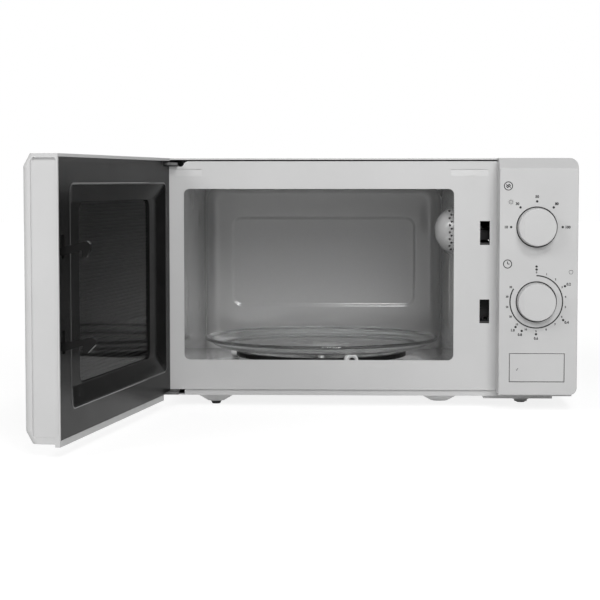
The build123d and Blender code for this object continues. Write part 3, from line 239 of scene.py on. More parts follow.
# Faces of a grid of points, rows by columns; either way may close on itself
def gridFaces(rows, columns, closeRows=False, closeColumns=False):
    i = np.arange(rows if closeRows else rows - 1)
    j = np.arange(columns if closeColumns else columns - 1)
    i, j = np.meshgrid(i, j, indexing="ij")
    nextI = (i + 1) % rows
    nextJ = (j + 1) % columns
    here, ahead = i * columns, nextI * columns
    return np.stack([here + j, here + nextJ, ahead + nextJ, ahead + j], -1).reshape(-1, 4).tolist()


# The points of a mesh as rows of x, y and z
def meshPoints(mesh):
    flat = np.empty(3 * len(mesh.vertices))
    mesh.vertices.foreach_get("co", flat)
    return flat.reshape(-1, 3)


joinGap = 1e-6  # points nearer than this are one


# A mesh object at the origin that rides on a body; sharp is the angle past which an edge stays crisp
def addPiece(name, points, faces, body, slot, finish=None, sharp=40.0, close=False):
    mesh = bpy.data.meshes.new(name)
    mesh.from_pydata(np.asarray(points, float).reshape(-1, 3).tolist(), [], faces)
    if close:  # loose strips of one shape are joined and turned outward
        shape = bmesh.new()
        shape.from_mesh(mesh)
        bmesh.ops.remove_doubles(shape, verts=shape.verts, dist=joinGap)
        bmesh.ops.recalc_face_normals(shape, faces=shape.faces)
        shape.to_mesh(mesh)
        shape.free()
    mesh.update()
    mesh.shade_smooth()
    mesh.set_sharp_from_angle(angle=math.radians(sharp))
    mesh.materials.append(finish or finishes[slot])
    piece = bpy.data.objects.new(name, mesh)
    scene.collection.objects.link(piece)
    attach(piece, body)
    return piece


# Several shapes as one: each is (points, faces), and later faces count on from the earlier points
def joinShapes(shapes):
    points, faces, start = [], [], 0
    for shapePoints, shapeFaces in shapes:
        points.append(np.asarray(shapePoints, float).reshape(-1, 3))
        faces += [[start + index for index in face] for face in shapeFaces]
        start += len(points[-1])
    return np.vstack(points), faces


# Rows of (radius, height) turned about an axis through centre: each point is centre + radius * spoke
# + height * along, and a spoke is cosine * across + sine * side
def turnRows(rows, centre, around, across, side, along):
    across, side, along = (np.array(axis, float) for axis in (across, side, along))
    angle = np.linspace(0, 2 * np.pi, around, endpoint=False)[:, None]
    spokes = np.cos(angle) * across + np.sin(angle) * side
    rings = np.array(centre, float) + rows[:, 0, None, None] * spokes + rows[:, 1, None, None] * along
    return rings.reshape(-1, 3)


# A turned solid: the profile's first and last rows lie on the axis and become single poles
def turnProfile(profile, centre, around, across=(1, 0, 0), side=(0, 1, 0), along=(0, 0, 1)):
    rim = profile[1:-1]
    poles = np.array(centre, float) + profile[[0, -1], 1, None] * np.array(along, float)
    points = np.vstack([turnRows(rim, centre, around, across, side, along), poles])
    faces = gridFaces(len(rim), around, closeColumns=True)
    j = np.arange(around)
    nextJ = (j + 1) % around
    last = (len(rim) - 1) * around
    first = np.full(around, len(points) - 2)
    faces += np.stack([first, nextJ, j], -1).tolist()
    faces += np.stack([first + 1, last + j, last + nextJ], -1).tolist()
    return points, faces


# A turned ring: the profile never meets the axis and closes on itself, such as a washer's section
def turnRing(profile, centre, around, across=(1, 0, 0), side=(0, 1, 0), along=(0, 0, 1)):
    points = turnRows(profile, centre, around, across, side, along)
    return points, gridFaces(len(profile), around, closeRows=True, closeColumns=True)


# Angles of four quarter rounds, one corner of a rounded rectangle after the other
def cornerAngles(perCorner):
    return (np.arange(4)[:, None] * np.pi / 2 + np.linspace(0, np.pi / 2, perCorner)).ravel()


# Three squares less two cubes: runs from 0 to 1, level at both ends
def smoothStep(t):
    t = np.clip(t, 0, 1)
    return t * t * (3 - 2 * t)


# Glass tray: middle height = floor level + rise * smooth step of (radius past the flat / run of the rim);
# the glass lies half its thickness above and below, the rim ends in a half round, and cosine grooves
# ring the underside
glassTray = {"thick": 0.0038, "flat": 0.1150, "grooves": (0.030, 0.070, 0.102), "grooveDepth": 0.0007,
             "grooveHalf": 0.0028, "around": 192, "steps": 110, "beadSteps": 13}


def makeTray():
    d = glassTray
    low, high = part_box("glass_tray")
    centre = (low + high) / 2
    radius = (high.x - low.x) / 2
    half = d["thick"] / 2
    end = radius - half
    r = np.linspace(0, end, d["steps"])
    rise = high.z - low.z - d["thick"]
    middle = low.z + half + rise * smoothStep((r - d["flat"]) / (end - d["flat"]))
    groove = np.zeros_like(r)
    for ring in d["grooves"]:
        near = np.clip(np.abs(r - ring) / d["grooveHalf"], 0, 1)
        groove += d["grooveDepth"] * 0.5 * (1 + np.cos(np.pi * near))
    turn = np.linspace(-np.pi / 2, np.pi / 2, d["beadSteps"])[1:-1]
    bead = np.stack([end + half * np.cos(turn), middle[-1] + half * np.sin(turn)], -1)
    under = np.stack([r, middle - half + groove], -1)
    over = np.stack([r, middle + half], -1)[::-1]
    profile = np.vstack([under, bead, over])
    points, faces = turnProfile(profile, (centre.x, centre.y, 0), d["around"])
    tray = addPiece("glassTray", points, faces, "turntable", "tray_glass", sharp=180)
    tray.visible_shadow = False  # clear glass lets the lamps through to the floor
    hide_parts("glass_tray")


# Rear pan: rounded rectangles carried from the cavity's edge to the middle. Each ring has a centre, half
# sizes, a corner radius and a depth: a flat flange, a quarter round down to the pan, a flat, then a
# sunken panel behind a smooth step. side, low and high are the panel's margins in the pan, tighten is the
# share of the round by which the corners narrow, and middle the share of the panel left as one face
rearPan = {"sheet": 0.0008, "emboss": 0.0011, "spare": 0.0019, "flange": 0.0004, "mouth": 0.022,
           "round": 0.015, "tighten": 0.6, "least": 0.0006, "side": 0.0318, "low": 0.0515, "high": 0.0428,
           "corner": 0.011, "step": 0.0052, "middle": 0.08, "perCorner": 14, "roundSteps": 12,
           "flatRings": 3, "stepRings": 12, "innerRings": 6}


def makeRearPan():
    d = rearPan
    low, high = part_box("cavity_rear_wall")
    wide, tall = high.x - low.x, high.z - low.z
    depth = high.y - low.y - d["sheet"] - d["emboss"] - d["spare"]
    turn = np.linspace(0, 1, d["roundSteps"])
    inset = np.concatenate([[0, d["flange"]], d["flange"] + d["round"] * turn])
    fall = np.concatenate([[0, 0], depth * np.sqrt(1 - (1 - turn) ** 2)])  # a quarter round over the inset
    narrow = d["mouth"] - d["round"] * turn * d["tighten"]
    corner = np.maximum(np.concatenate([[d["least"], d["mouth"]], narrow]), d["least"])
    rings = np.stack([0 * inset, 0 * inset, wide / 2 - inset, tall / 2 - inset, corner, fall], -1)
    shift = (d["low"] - d["high"]) / 2
    panelWide, panelTall = wide / 2 - d["side"], tall / 2 - (d["low"] + d["high"]) / 2
    t = np.linspace(0, 1, d["stepRings"])
    spread = d["step"] * (0.5 - t)
    sunk = d["emboss"] * smoothStep(t)
    step = np.stack([0 * t, 0 * t + shift, panelWide + spread, panelTall + spread, d["corner"] + spread,
                     depth + sunk], -1)
    shrink = np.linspace(1, d["middle"], d["innerRings"] + 1)[1:, None]
    keep = np.ones_like(shrink)
    inner = step[-1] * np.hstack([keep, keep, shrink, shrink, shrink, keep])
    between = rings[-1] + (step[0] - rings[-1]) * np.linspace(0, 1, d["flatRings"] + 2)[1:-1, None]
    rings = np.vstack([rings, between, step, inner])
    angle = cornerAngles(d["perCorner"])
    signX = np.repeat([1, -1, -1, 1], d["perCorner"])
    signZ = np.repeat([1, 1, -1, -1], d["perCorner"])
    midX, midZ, halfX, halfZ, radius, fall = (rings[:, [k]] for k in range(6))
    x = (low.x + high.x) / 2 + midX + signX * (halfX - radius) + radius * np.cos(angle)
    z = (low.z + high.z) / 2 + midZ + signZ * (halfZ - radius) + radius * np.sin(angle)
    points = np.stack([x, low.y + fall + 0 * x, z], -1)
    faces = gridFaces(*x.shape, closeColumns=True)
    faces.append(list(range(x.size - x.shape[1], x.size)))
    pan = addPiece("rearPan", points, faces, "cabinet", "cavity_enamel", sharp=50)
    shell = pan.modifiers.new("sheet", "SOLIDIFY")
    shell.thickness = d["sheet"]
    shell.offset = -1
    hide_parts("cavity_rear_wall")


# The door's pieces are laid out on the shut door and then swung open about the upright hinge line
hinge = joints["door_hinge"]["pos_m"]
shutTurn = math.radians(joints["door_hinge"]["range_deg"][1])


def swing(points, angle):
    x, y = points[..., 0] - hinge[0], points[..., 1] - hinge[1]
    c, s = math.cos(angle), math.sin(angle)
    return np.stack([hinge[0] + c * x - s * y, hinge[1] + s * x + c * y, points[..., 2]], -1)


def shutBox(name):
    points = swing(meshPoints(nodes[name].data), shutTurn)
    return points.min(0), points.max(0)


# Door screen: a square grid of cells, each with an eight-sided hole, two sheets of faces joined by the
# hole walls and the outer edge. The outer cells, border of them on each side, have no hole
doorScreen = {"pitch": 0.0033, "hole": 0.0011, "border": 2}


def makeDoorScreen():
    d = doorScreen
    low, high = shutBox("door_screen")
    columns, rows = (int((high[k] - low[k]) / d["pitch"]) for k in (0, 2))
    x, z = np.linspace(low[0], high[0], columns + 1), np.linspace(low[2], high[2], rows + 1)
    gridZ, gridX = np.meshgrid(z, x, indexing="ij")
    corners = np.stack([gridX, 0 * gridX, gridZ], -1).reshape(-1, 3)
    number = np.arange(len(corners)).reshape(rows + 1, columns + 1)
    cell = np.stack([number[:-1, :-1], number[:-1, 1:], number[1:, 1:], number[1:, :-1]], -1)
    b = d["border"]
    isOpen = np.zeros((rows, columns), bool)
    isOpen[b:-b, b:-b] = True
    pierced, solid = cell[isOpen], cell[~isOpen]
    turn = np.arange(8) * np.pi / 4
    rim = d["hole"] * np.stack([np.cos(turn), 0 * turn, np.sin(turn)], -1)
    holes = (corners[pierced].mean(1)[:, None] + rim).reshape(-1, 3)
    layer = np.vstack([corners, holes])
    hole = len(corners) + np.arange(len(holes)).reshape(-1, 8)
    sides = []
    for k in range(4):  # each side of a cell runs to the three nearest corners of its hole
        near = [(7 + 2 * k) % 8, (6 + 2 * k) % 8, (5 + 2 * k) % 8]
        sides.append(np.column_stack([pierced[:, [k, (k + 1) % 4]], hole[:, near]]))
    outer = np.vstack(sides).tolist() + solid.tolist()
    count = len(layer)
    inner = [[count + index for index in face[::-1]] for face in outer]
    nextHole = np.roll(hole, -1, axis=1)
    walls = np.stack([hole, nextHole, count + nextHole, count + hole], -1).reshape(-1, 4)
    loop = np.concatenate([number[0, :-1], number[:-1, -1], number[-1, :0:-1], number[:0:-1, 0]])
    nextLoop = np.roll(loop, -1)
    edges = np.stack([loop, count + loop, count + nextLoop, nextLoop], -1)
    points = np.vstack([layer + [0, low[1], 0], layer + [0, high[1], 0]])
    faces = outer + inner + walls.tolist() + edges.tolist()
    screen = addPiece("doorScreen", swing(points, -shutTurn), faces, "door", "black_enamel", sharp=20)
    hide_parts("door_screen")


# Dish lip: a glossy round bead on the mouth of the door's dish, a circle carried round a rounded rectangle.
# hinge, free, low and high are its margins inside the door's frame
dishLip = {"hinge": 0.0151, "free": 0.0294, "low": 0.0235, "high": 0.0230, "corner": 0.0090, "bead": 0.0012,
           "sunk": 0.0008, "perCorner": 12, "around": 14}


def makeDishLip():
    d = dishLip
    low, high = shutBox("door_inner_frame")
    left, right = low[0] + d["hinge"], high[0] - d["free"]
    bottom, top = low[2] + d["low"], high[2] - d["high"]
    angle = cornerAngles(d["perCorner"])[:, None]
    sides = np.array([right, left, left, right]) + d["corner"] * np.array([-1, 1, 1, -1])
    levels = np.array([top, top, bottom, bottom]) + d["corner"] * np.array([-1, -1, 1, 1])
    middleX, middleZ = (np.repeat(middle, d["perCorner"])[:, None] for middle in (sides, levels))
    turn = np.linspace(0, 2 * np.pi, d["around"], endpoint=False)
    reach = d["corner"] + d["bead"] * np.cos(turn)
    x = middleX + reach * np.cos(angle)
    z = middleZ + reach * np.sin(angle)
    y = high[1] - d["sunk"] + d["bead"] * np.sin(turn) + 0 * x
    points = swing(np.stack([x, y, z], -1), -shutTurn)
    faces = gridFaces(*x.shape, closeRows=True, closeColumns=True)
    addPiece("dishLip", points, faces, "door", "black_plastic", lipGloss, sharp=180, close=True)


# Rollers: a tyre section with rounded shoulders and a hollow round the hub, turned about the axle, and
# a dark cap that holds each one on the carrier
rollers = {"shoulder": 0.0008, "shoulderSteps": 6, "hollow": 0.0048, "bevel": 0.0004, "hub": 0.0017,
           "sink": 0.0012, "around": 48, "cap": 0.0036, "capLift": 0.0002, "capEdge": (0.0005, 0.0004),
           "capAround": 24}


def makeRollers():
    d = rollers
    edge, drop = d["capEdge"]
    side = np.array([0, 0, 1.0])
    for k in (1, 2, 3):
        along = np.array(joints[f"roller_{k}_spin"]["axis"], float)
        across = np.cross(side, along)
        solid = meshPoints(nodes[f"roller_{k}"].data)
        low, high = solid.min(0), solid.max(0)
        centre = (low + high) / 2
        half = ((solid - centre) @ along).max()
        radius = (high[2] - low[2]) / 2
        turn = np.linspace(0, np.pi / 2, d["shoulderSteps"])
        shoulder = np.stack([radius - d["shoulder"] * (1 - np.sin(turn)),
                             half - d["shoulder"] * (1 - np.cos(turn))], -1)
        sunk = half - d["sink"]
        face = np.array([[d["hub"], sunk], [d["hollow"], sunk], [d["hollow"] + d["bevel"], half]])
        end = np.vstack([face, shoulder])
        profile = np.vstack([end[::-1], end * [1, -1]])
        points, faces = turnRing(profile, centre, d["around"], across, side, along)
        roller = addPiece(f"roller{k}", points, faces, f"roller_body_{k}", "white_plastic", close=True)
        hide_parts(f"roller_{k}")
        wide, base, top = d["cap"], sunk + d["capLift"], half + d["capLift"]
        cap = np.array([[0, base], [wide, base], [wide, top - drop], [wide - edge, top], [0, top]])
        points, faces = turnProfile(cap, centre, d["capAround"], across, side, along)
        addPiece(f"rollerCap{k}", points, faces, "roller_carrier", "black_plastic", close=True)


# Middle of a knob's face, across and up
def knobMiddle(name):
    low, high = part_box(name)
    return (low.x + high.x) / 2, (low.z + high.z) / 2


# Painted gap shade: a flat dark ring in the well behind each knob stands in for the shade of the gap round it, so
# that the gap reads as a dark line
knobGapShade = {"inner": 0.0172, "spare": 0.00110, "clear": 0.00006, "thick": 0.00016, "around": 96}


def makeSealRings():
    d = knobGapShade
    rings = []
    for knob in ("power_knob", "timer_knob"):
        low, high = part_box(knob)
        outer = (high.x - low.x) / 2 + d["spare"]
        front, back = high.y + d["clear"], high.y + d["clear"] + d["thick"]
        section = np.array([[d["inner"], front], [outer, front], [outer, back], [d["inner"], back]])
        across, up = knobMiddle(knob)
        rings.append(turnRing(section, (across, 0, up), d["around"], (1, 0, 0), (0, 0, 1), (0, 1, 0)))
    points, faces = joinShapes(rings)
    # the dark ring is painted shade for the gap round each knob
    addPiece("knobGapShades", points, faces, "cabinet", "rubber", close=True)


# Painted slit shade: a dark frame in the slit round the door button, a little behind its face, stands in for the
# shade inside the slit.
# It is a small rectangle carried round the button's four corners
buttonSlitShade = {"slit": 0.00058, "clear": 0.00012, "back": 0.0005, "thick": 0.0006}


def makeButtonSeal():
    d = buttonSlitShade
    low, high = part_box("door_button")
    front = low.y + d["back"]
    back = front + d["thick"]
    loops = ((d["slit"], front), (d["slit"], back), (d["clear"], back), (d["clear"], front))
    points = [[(low.x - out, y, low.z - out), (high.x + out, y, low.z - out),
               (high.x + out, y, high.z + out), (low.x - out, y, high.z + out)] for out, y in loops]
    faces = gridFaces(4, 4, closeRows=True, closeColumns=True)
    # the dark frame is painted shade for the slit round the button
    addPiece("buttonSlitShade", points, faces, "cabinet", "rubber", close=True)


# Foot necks: a stamped neck round each pad on the control side, the turned section of a slightly conical
# sleeve. Pad points below ground are the pads' tips
footNeck = {"top": 0.0078, "tip": 0.0066, "flare": (0.0003, 0.0006), "low": 0.0010, "high": 0.0040,
            "wall": 0.0004, "ground": 0.0005, "around": 48}


def makeFootNecks():
    d = footNeck
    pads = meshPoints(nodes["foot_pads"].data)
    tips = pads[(pads[:, 2] < d["ground"]) & (pads[:, 0] > 0)]
    middle = tips[:, 1].mean()
    out, up = d["flare"]
    tip, inner, low = d["tip"], d["tip"] - d["wall"], d["low"]
    section = np.array([[d["top"], d["high"]], [tip + out, low + up], [tip, low], [inner, low],
                        [inner, d["high"]]])
    necks = []
    for feet in (tips[tips[:, 1] < middle], tips[tips[:, 1] > middle]):
        centre = (feet.min(0) + feet.max(0)) / 2
        necks.append(turnRing(section, (centre[0], centre[1], 0), d["around"]))
    points, faces = joinShapes(necks)
    addPiece("footNecks", points, faces, "cabinet", "white_enamel", close=True)


# Rear screws: a disc of rings and spokes whose height is a dome less a cross-shaped recess. The dome falls
# by a square of the radius and, at the rim, by a high power of it. A gap of apart radii parts two screws
rearScrews = {"dome": 0.35, "rim": 14, "arm": 0.0019, "slot": 0.00042, "blur": 0.00018, "sink": 0.0011,
              "apart": 4, "rings": 22, "around": 64}


def makeRearScrews():
    d = rearScrews
    solid = meshPoints(nodes["rear_screws"].data)
    low, high = solid.min(0), solid.max(0)
    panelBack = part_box("rear_panel")[1].y
    tall = high[1] - panelBack
    radius = (high[2] - low[2]) / 2
    level = (high[2] + low[2]) / 2
    across = np.sort(solid[:, 0])
    groups = np.split(across, np.where(np.diff(across) > d["apart"] * radius)[0] + 1)
    share = np.linspace(1, 0, d["rings"])[:, None]
    angle = np.linspace(0, 2 * np.pi, d["around"], endpoint=False)
    u, v = radius * share * np.cos(angle), radius * share * np.sin(angle)
    dome = tall * (1 - d["dome"] * share ** 2 - (1 - d["dome"]) * share ** d["rim"])

    def within(value, limit):
        return 1 - smoothStep((np.abs(value) - limit + d["blur"]) / (2 * d["blur"]))

    flatArm = within(v, d["slot"]) * within(u, d["arm"])
    tallArm = within(u, d["slot"]) * within(v, d["arm"])
    height = dome - d["sink"] * np.maximum(tallArm, flatArm)
    screws = []
    for group in groups:
        x = (group[0] + group[-1]) / 2 + u
        points = np.stack([x, panelBack + height, level + v], -1)
        faces = gridFaces(d["rings"], d["around"], closeColumns=True)
        faces.append(list(range(d["around"])))  # the seat under the head
        screws.append((points, faces))
    points, faces = joinShapes(screws)
    heads = addPiece("rearScrews", points, faces, "cabinet", "zinc_steel", sharp=50, close=True)
    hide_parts("rear_screws")


# Panel print, in metres across, up and out of the panel. Angles run clockwise from the top.
# Strokes are a rectangle carried along a path, dots are turned discs, numbers are solid figures
panelPrint = {
    "lift": 0.00006, "line": 0.00130, "arcSteps": 121, "dot": 0.00125, "dotAround": 20,
    "bold": 0.050, "figureSteps": 4,
    "powerDots": 0.0264, "powerNumbers": 0.0313, "perDigit": 0.0006, "powerHeight": 0.0030,
    "powerMarks": ((-90, "10"), (-40, "30"), (0, "50"), (40, "80"), (90, "100")),
    "timerArc": 0.0270, "timerSpan": (0, 300), "timerNumbers": 0.0304, "timerHeight": 0.0022,
    "minutes": (0, 1, 2, 3, 4, 5, 6, 7, 8, 9, 10, 15, 20, 25, 30, 35), "minuteStep": 20,
    "weightDots": 0.0335, "weightNumbers": 0.0378, "weightHeight": 0.0029,
    "weights": ((61, "0.2"), (124, "0.4"), (180, "0.6"), (206, "0.8"), (219, "1.0")),
    "startMarks": (0.0334, 0.0364),
}


# The way ahead at each point of the path is taken from its neighbours, and half the width lies on each side
def stroke(path, width, closed=False):
    path = np.asarray(path, float)
    ahead = np.roll(path, -1, 0) - np.roll(path, 1, 0) if closed else np.gradient(path, axis=0)
    ahead = ahead / np.linalg.norm(ahead, axis=1, keepdims=True)
    aside = np.stack([-ahead[:, 1], ahead[:, 0]], -1) * width / 2
    flat = np.stack([path + aside, path - aside, path - aside, path + aside], 1)
    level = np.array([0, 0, 1, 1]) * panelPrint["lift"]
    level = np.broadcast_to(level[None, :, None], (len(path), 4, 1))
    faces = gridFaces(len(path), 4, closeRows=closed, closeColumns=True)
    if not closed:
        last = 4 * len(path) - 4
        faces += [[0, 1, 2, 3], [last, last + 1, last + 2, last + 3]]
    return np.concatenate([flat, level], -1), faces


def onCircle(centre, radius, degrees):
    angle = np.radians(degrees)
    return np.stack([centre[0] + radius * np.sin(angle), centre[1] + radius * np.cos(angle)], -1)


def dot(centre, radius):
    lift = panelPrint["lift"]
    section = np.array([[0, 0], [radius, 0], [radius, lift], [0, lift]])
    return turnProfile(section, (centre[0], centre[1], 0), panelPrint["dotAround"])


# A number as text made a mesh, one unit thick, then scaled to its height and thinned to the print's lift
def figure(label, centre, height):
    curve = bpy.data.curves.new("figure", "FONT")
    curve.body = label
    curve.resolution_u = panelPrint["figureSteps"]
    curve.extrude = 0.5
    curve.offset = panelPrint["bold"]
    shape = bpy.data.objects.new("figure", curve)
    mesh = bpy.data.meshes.new_from_object(shape)
    points = meshPoints(mesh)
    faces = [list(face.vertices) for face in mesh.polygons]
    low, high = points.min(0), points.max(0)
    flat = (points[:, :2] - (low + high)[:2] / 2) * height / (high[1] - low[1]) + centre
    bpy.data.objects.remove(shape)
    bpy.data.curves.remove(curve)
    bpy.data.meshes.remove(mesh)
    return np.column_stack([flat, (points[:, 2] + 0.5) * panelPrint["lift"]]), faces


def dialMarks():
    d = panelPrint
    power, timer = knobMiddle("power_knob"), knobMiddle("timer_knob")
    shapes = []
    for angle, label in d["powerMarks"]:
        shapes.append(dot(onCircle(power, d["powerDots"], angle), d["dot"]))
        longer = d["perDigit"] * (len(label) - 2)  # a third digit moves the number out sideways
        reach = d["powerNumbers"] + longer * abs(math.sin(math.radians(angle)))
        shapes.append(figure(label, onCircle(power, reach, angle), d["powerHeight"]))
    arc = np.linspace(*d["timerSpan"], d["arcSteps"])
    shapes.append(stroke(onCircle(timer, d["timerArc"], arc), d["line"]))
    for place, minute in enumerate(d["minutes"]):
        at = onCircle(timer, d["timerNumbers"], d["minuteStep"] * place)
        shapes.append(figure(str(minute), at, d["timerHeight"]))
    for angle, label in d["weights"]:
        shapes.append(dot(onCircle(timer, d["weightDots"], angle), d["dot"]))
        shapes.append(figure(label, onCircle(timer, d["weightNumbers"], angle), d["weightHeight"]))
    for reach in d["startMarks"]:
        shapes.append(dot(onCircle(timer, reach, 0), d["dot"]))
    return shapes


# Icons: a ring with two waves, a clock face, a small sun and a cup, placed from the panel's upper right
# corner. A wave is one and a half turns of a sine. Its reach and the hands are shares of the ring's radius
panelIcons = {
    "wave": (-0.0720, -0.0288), "clock": (-0.0723, -0.1090), "sun": (-0.0693, -0.0452),
    "cup": (-0.0072, -0.1172), "fine": 0.00090, "thin": 0.00045, "ring": 0.0042, "ringSteps": 48,
    "waveReach": 0.55, "waveRises": (-0.0009, 0.0009), "waveHump": 0.00075, "waveSteps": 25,
    "hands": ((0, 0.62), (0.5, 0)), "sunRadius": 0.0014, "rays": 8, "ray": (0.0020, 0.0025, 0.0030),
    "cupSide": ((-0.0016, 0.0016), (-0.0020, 0.0), (-0.0012, -0.0020), (0.0012, -0.0020), (0.0020, 0.0),
                (0.0016, 0.0016)),
}


def iconMarks():
    d = panelIcons
    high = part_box("control_panel")[1]
    corner = np.array([high.x, high.z])
    wave, clock, sun, cup = (corner + d[key] for key in ("wave", "clock", "sun", "cup"))
    circle = np.linspace(0, 360, d["ringSteps"], endpoint=False)
    ring, fine, thin = d["ring"], d["fine"], d["thin"]
    shapes = [stroke(onCircle(centre, ring, circle), fine, True) for centre in (wave, clock)]
    t = np.linspace(-1, 1, d["waveSteps"])
    for rise in d["waveRises"]:
        line = np.stack([d["waveReach"] * ring * t, rise + d["waveHump"] * np.sin(1.5 * np.pi * t)], -1)
        shapes.append(stroke(wave + line, fine))
    for hand in d["hands"]:
        line = np.linspace(0, 1, 3)[:, None] * np.array(hand) * ring
        shapes.append(stroke(clock + line, fine))
    shapes.append(stroke(onCircle(sun, d["sunRadius"], circle), thin, True))
    for angle in np.arange(d["rays"]) * 360 / d["rays"]:
        ray = np.stack([onCircle(sun, reach, angle) for reach in d["ray"]])
        shapes.append(stroke(ray, thin))
    shapes.append(stroke(cup + np.array(d["cupSide"]), thin, True))
    return shapes


# From the print's across, up and out to a face that looks to the front
def ontoFront(points, front):
    across, up, out = points.reshape(-1, 3).T
    return np.column_stack([across, front - out, up])


def makePanelPrint():
    points, faces = joinShapes(dialMarks() + iconMarks())
    placed = ontoFront(points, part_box("control_panel")[0].y)
    addPiece("panelPrint", placed, faces, "cabinet", "black_plastic", panelInk, sharp=30, close=True)


# Button mark: a short tick, placed from the button's lower left corner
buttonMark = {"from": (0.0066, 0.0124), "knee": (0.0073, 0.0116), "to": (0.0086, 0.0140), "width": 0.00055}


def makeButtonMark():
    d = buttonMark
    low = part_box("door_button")[0]
    path = np.array([d["from"], d["knee"], d["to"]]) + [low.x, low.z]
    points, faces = stroke(path, d["width"])
    placed = ontoFront(points, low.y)
    addPiece("buttonMark", placed, faces, "button", "black_plastic", panelInk, sharp=30, close=True)


makeTray()
makeRearPan()
makeDoorScreen()
makeDishLip()
makeRollers()
print("tray, rear pan, door screen, dish lip and rollers made")
makeSealRings()
makeButtonSeal()
makeFootNecks()
makeRearScrews()
makePanelPrint()
makeButtonMark()
print("seals, feet, screws and print made")


# What the camera, gloss and glass see is told apart from what lights the object
def seenRays(tree):
    path = addNode(tree, "ShaderNodeLightPath")
    seen = addNode(tree, "ShaderNodeMath", operation="MAXIMUM")
    both = addNode(tree, "ShaderNodeMath", operation="MAXIMUM")
    tree.links.new(path.outputs["Is Camera Ray"], seen.inputs[0])
    tree.links.new(path.outputs["Is Glossy Ray"], seen.inputs[1])
    tree.links.new(seen.outputs[0], both.inputs[0])
    tree.links.new(path.outputs["Is Transmission Ray"], both.inputs[1])
    return both.outputs[0]


# Floor: a wide pale sheet just under the feet. What sees it gets white, fully so further out, plus a little
# of its own shading, so that the object's shadow stays
paleFloor = {"half": 8.0, "below": 0.0002, "tone": 0.86, "rough": 0.9, "white": (0.84, 1.0),
             "reach": (0.5, 2.0), "shade": 0.30}


def makeFloor():
    d = paleFloor
    h, z = d["half"], -d["below"]
    mesh = bpy.data.meshes.new("floor")
    mesh.from_pydata([(-h, -h, z), (h, -h, z), (h, h, z), (-h, h, z)], [], [(0, 1, 2, 3)])
    floor = bpy.data.objects.new("floor", mesh)
    scene.collection.objects.link(floor)
    material, tree, shader, place = startMaterial("paleFloor", {"Roughness": d["rough"]})
    shader.inputs["Base Color"].default_value = (*grey(d["tone"]), 1)
    white = addNode(tree, "ShaderNodeEmission", {"Color": (1, 1, 1, 1)})
    away = addNode(tree, "ShaderNodeVectorMath", operation="LENGTH")
    (near, far), (low, high) = d["reach"], d["white"]
    limits = {"From Min": near, "From Max": far, "To Min": low, "To Max": high}
    fade = addNode(tree, "ShaderNodeMapRange", limits)
    tree.links.new(place, away.inputs[0])
    tree.links.new(away.outputs["Value"], fade.inputs["Value"])
    tree.links.new(fade.outputs["Result"], white.inputs["Strength"])
    shade = addNode(tree, "ShaderNodeBsdfDiffuse", {"Color": (*grey(d["shade"]), 1)})
    shown = addNode(tree, "ShaderNodeAddShader")
    pick = addNode(tree, "ShaderNodeMixShader")
    tree.links.new(white.outputs[0], shown.inputs[0])
    tree.links.new(shade.outputs[0], shown.inputs[1])
    tree.links.new(seenRays(tree), pick.inputs[0])
    tree.links.new(shader.outputs[0], pick.inputs[1])
    tree.links.new(shown.outputs[0], pick.inputs[2])
    under = addNode(tree, "ShaderNodeNewGeometry")  # from below the floor is clear
    clearUnder = addNode(tree, "ShaderNodeBsdfTransparent")
    sides = addNode(tree, "ShaderNodeMixShader")
    tree.links.new(under.outputs["Backfacing"], sides.inputs[0])
    tree.links.new(pick.outputs[0], sides.inputs[1])
    tree.links.new(clearUnder.outputs[0], sides.inputs[2])
    tree.links.new(sides.outputs[0], tree.nodes["Material Output"].inputs["Surface"])
    mesh.materials.append(material)


# World: white where it is seen, a plain soft level as light
softWorld = {"level": 0.15}


def makeWorld():
    world = bpy.data.worlds.new("studio")
    world.use_nodes = True
    scene.world = world
    tree = world.node_tree
    soft = tree.nodes["Background"]
    soft.inputs["Color"].default_value = (1, 1, 1, 1)
    soft.inputs["Strength"].default_value = softWorld["level"]
    white = addNode(tree, "ShaderNodeBackground", {"Color": (1, 1, 1, 1), "Strength": 1.0})
    pick = addNode(tree, "ShaderNodeMixShader")
    tree.links.new(seenRays(tree), pick.inputs[0])
    tree.links.new(soft.outputs[0], pick.inputs[1])
    tree.links.new(white.outputs[0], pick.inputs[2])
    tree.links.new(pick.outputs[0], tree.nodes["World Output"].inputs["Surface"])


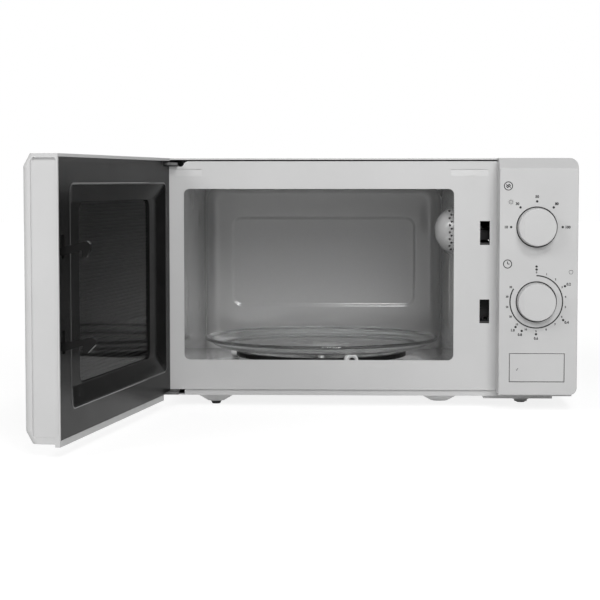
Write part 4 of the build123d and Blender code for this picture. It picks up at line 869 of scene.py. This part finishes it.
# Lamps: a key up on the right, a wide low box in front that reaches into the cavity, a small spot that
# catches the lower edge of the pressed panel in the rear pan, and a fill on the left. Angles are in degrees
# from straight in front and from level
lamps = {
    "keyLamp": {"aim": (0.03, 0.05, 0.13), "azimuth": 15.0, "height": 43.0, "away": 2.6,
                "size": (0.6, 0.6), "watts": 19.0},
    "frontBox": {"aim": (0.03, 0.05, 0.13), "azimuth": 10.0, "height": 20.0, "away": 2.6,
                 "size": (0.9, 0.7), "watts": 15.0},
    "frontSpot": {"aim": (-0.01, 0.30, 0.09), "azimuth": 4.0, "height": 23.0, "away": 2.8,
                  "size": (0.4, 0.25), "watts": 5.0},
    "sideFill": {"aim": (0.12, 0.0, 0.13), "azimuth": -50.0, "height": 30.0, "away": 2.6,
                 "size": (1.3, 1.0), "watts": 19.0},
}


def makeLamp(name, d):
    light = bpy.data.lights.new(name, "AREA")
    light.shape = "RECTANGLE"
    light.size, light.size_y = d["size"]
    light.energy = d["watts"]
    lamp = bpy.data.objects.new(name, light)
    scene.collection.objects.link(lamp)
    turn, rise = math.radians(d["azimuth"]), math.radians(d["height"])
    away = Vector((math.sin(turn) * math.cos(rise), -math.cos(turn) * math.cos(rise), math.sin(rise)))
    lamp.location = Vector(d["aim"]) + d["away"] * away
    lamp.rotation_euler = (-away).to_track_quat("-Z", "Y").to_euler()


# Camera: fitted to the straight edges in the photograph
view = {"from": (0.02719, -1.81147, 0.23902), "tilt": 3.918, "yaw": 1.801, "lens": 104.9, "sensor": 36.0}


def makeCamera():
    data = bpy.data.cameras.new("camera")
    data.lens = view["lens"]
    data.sensor_width = view["sensor"]
    camera = bpy.data.objects.new("camera", data)
    scene.collection.objects.link(camera)
    camera.location = view["from"]
    camera.rotation_euler = (math.radians(90 - view["tilt"]), 0, math.radians(view["yaw"]))
    scene.camera = camera


makeFloor()
makeWorld()
for lampName, lampValues in lamps.items():
    makeLamp(lampName, lampValues)
makeCamera()
scene.view_settings.view_transform = "Standard"
print("stage, light and camera set")
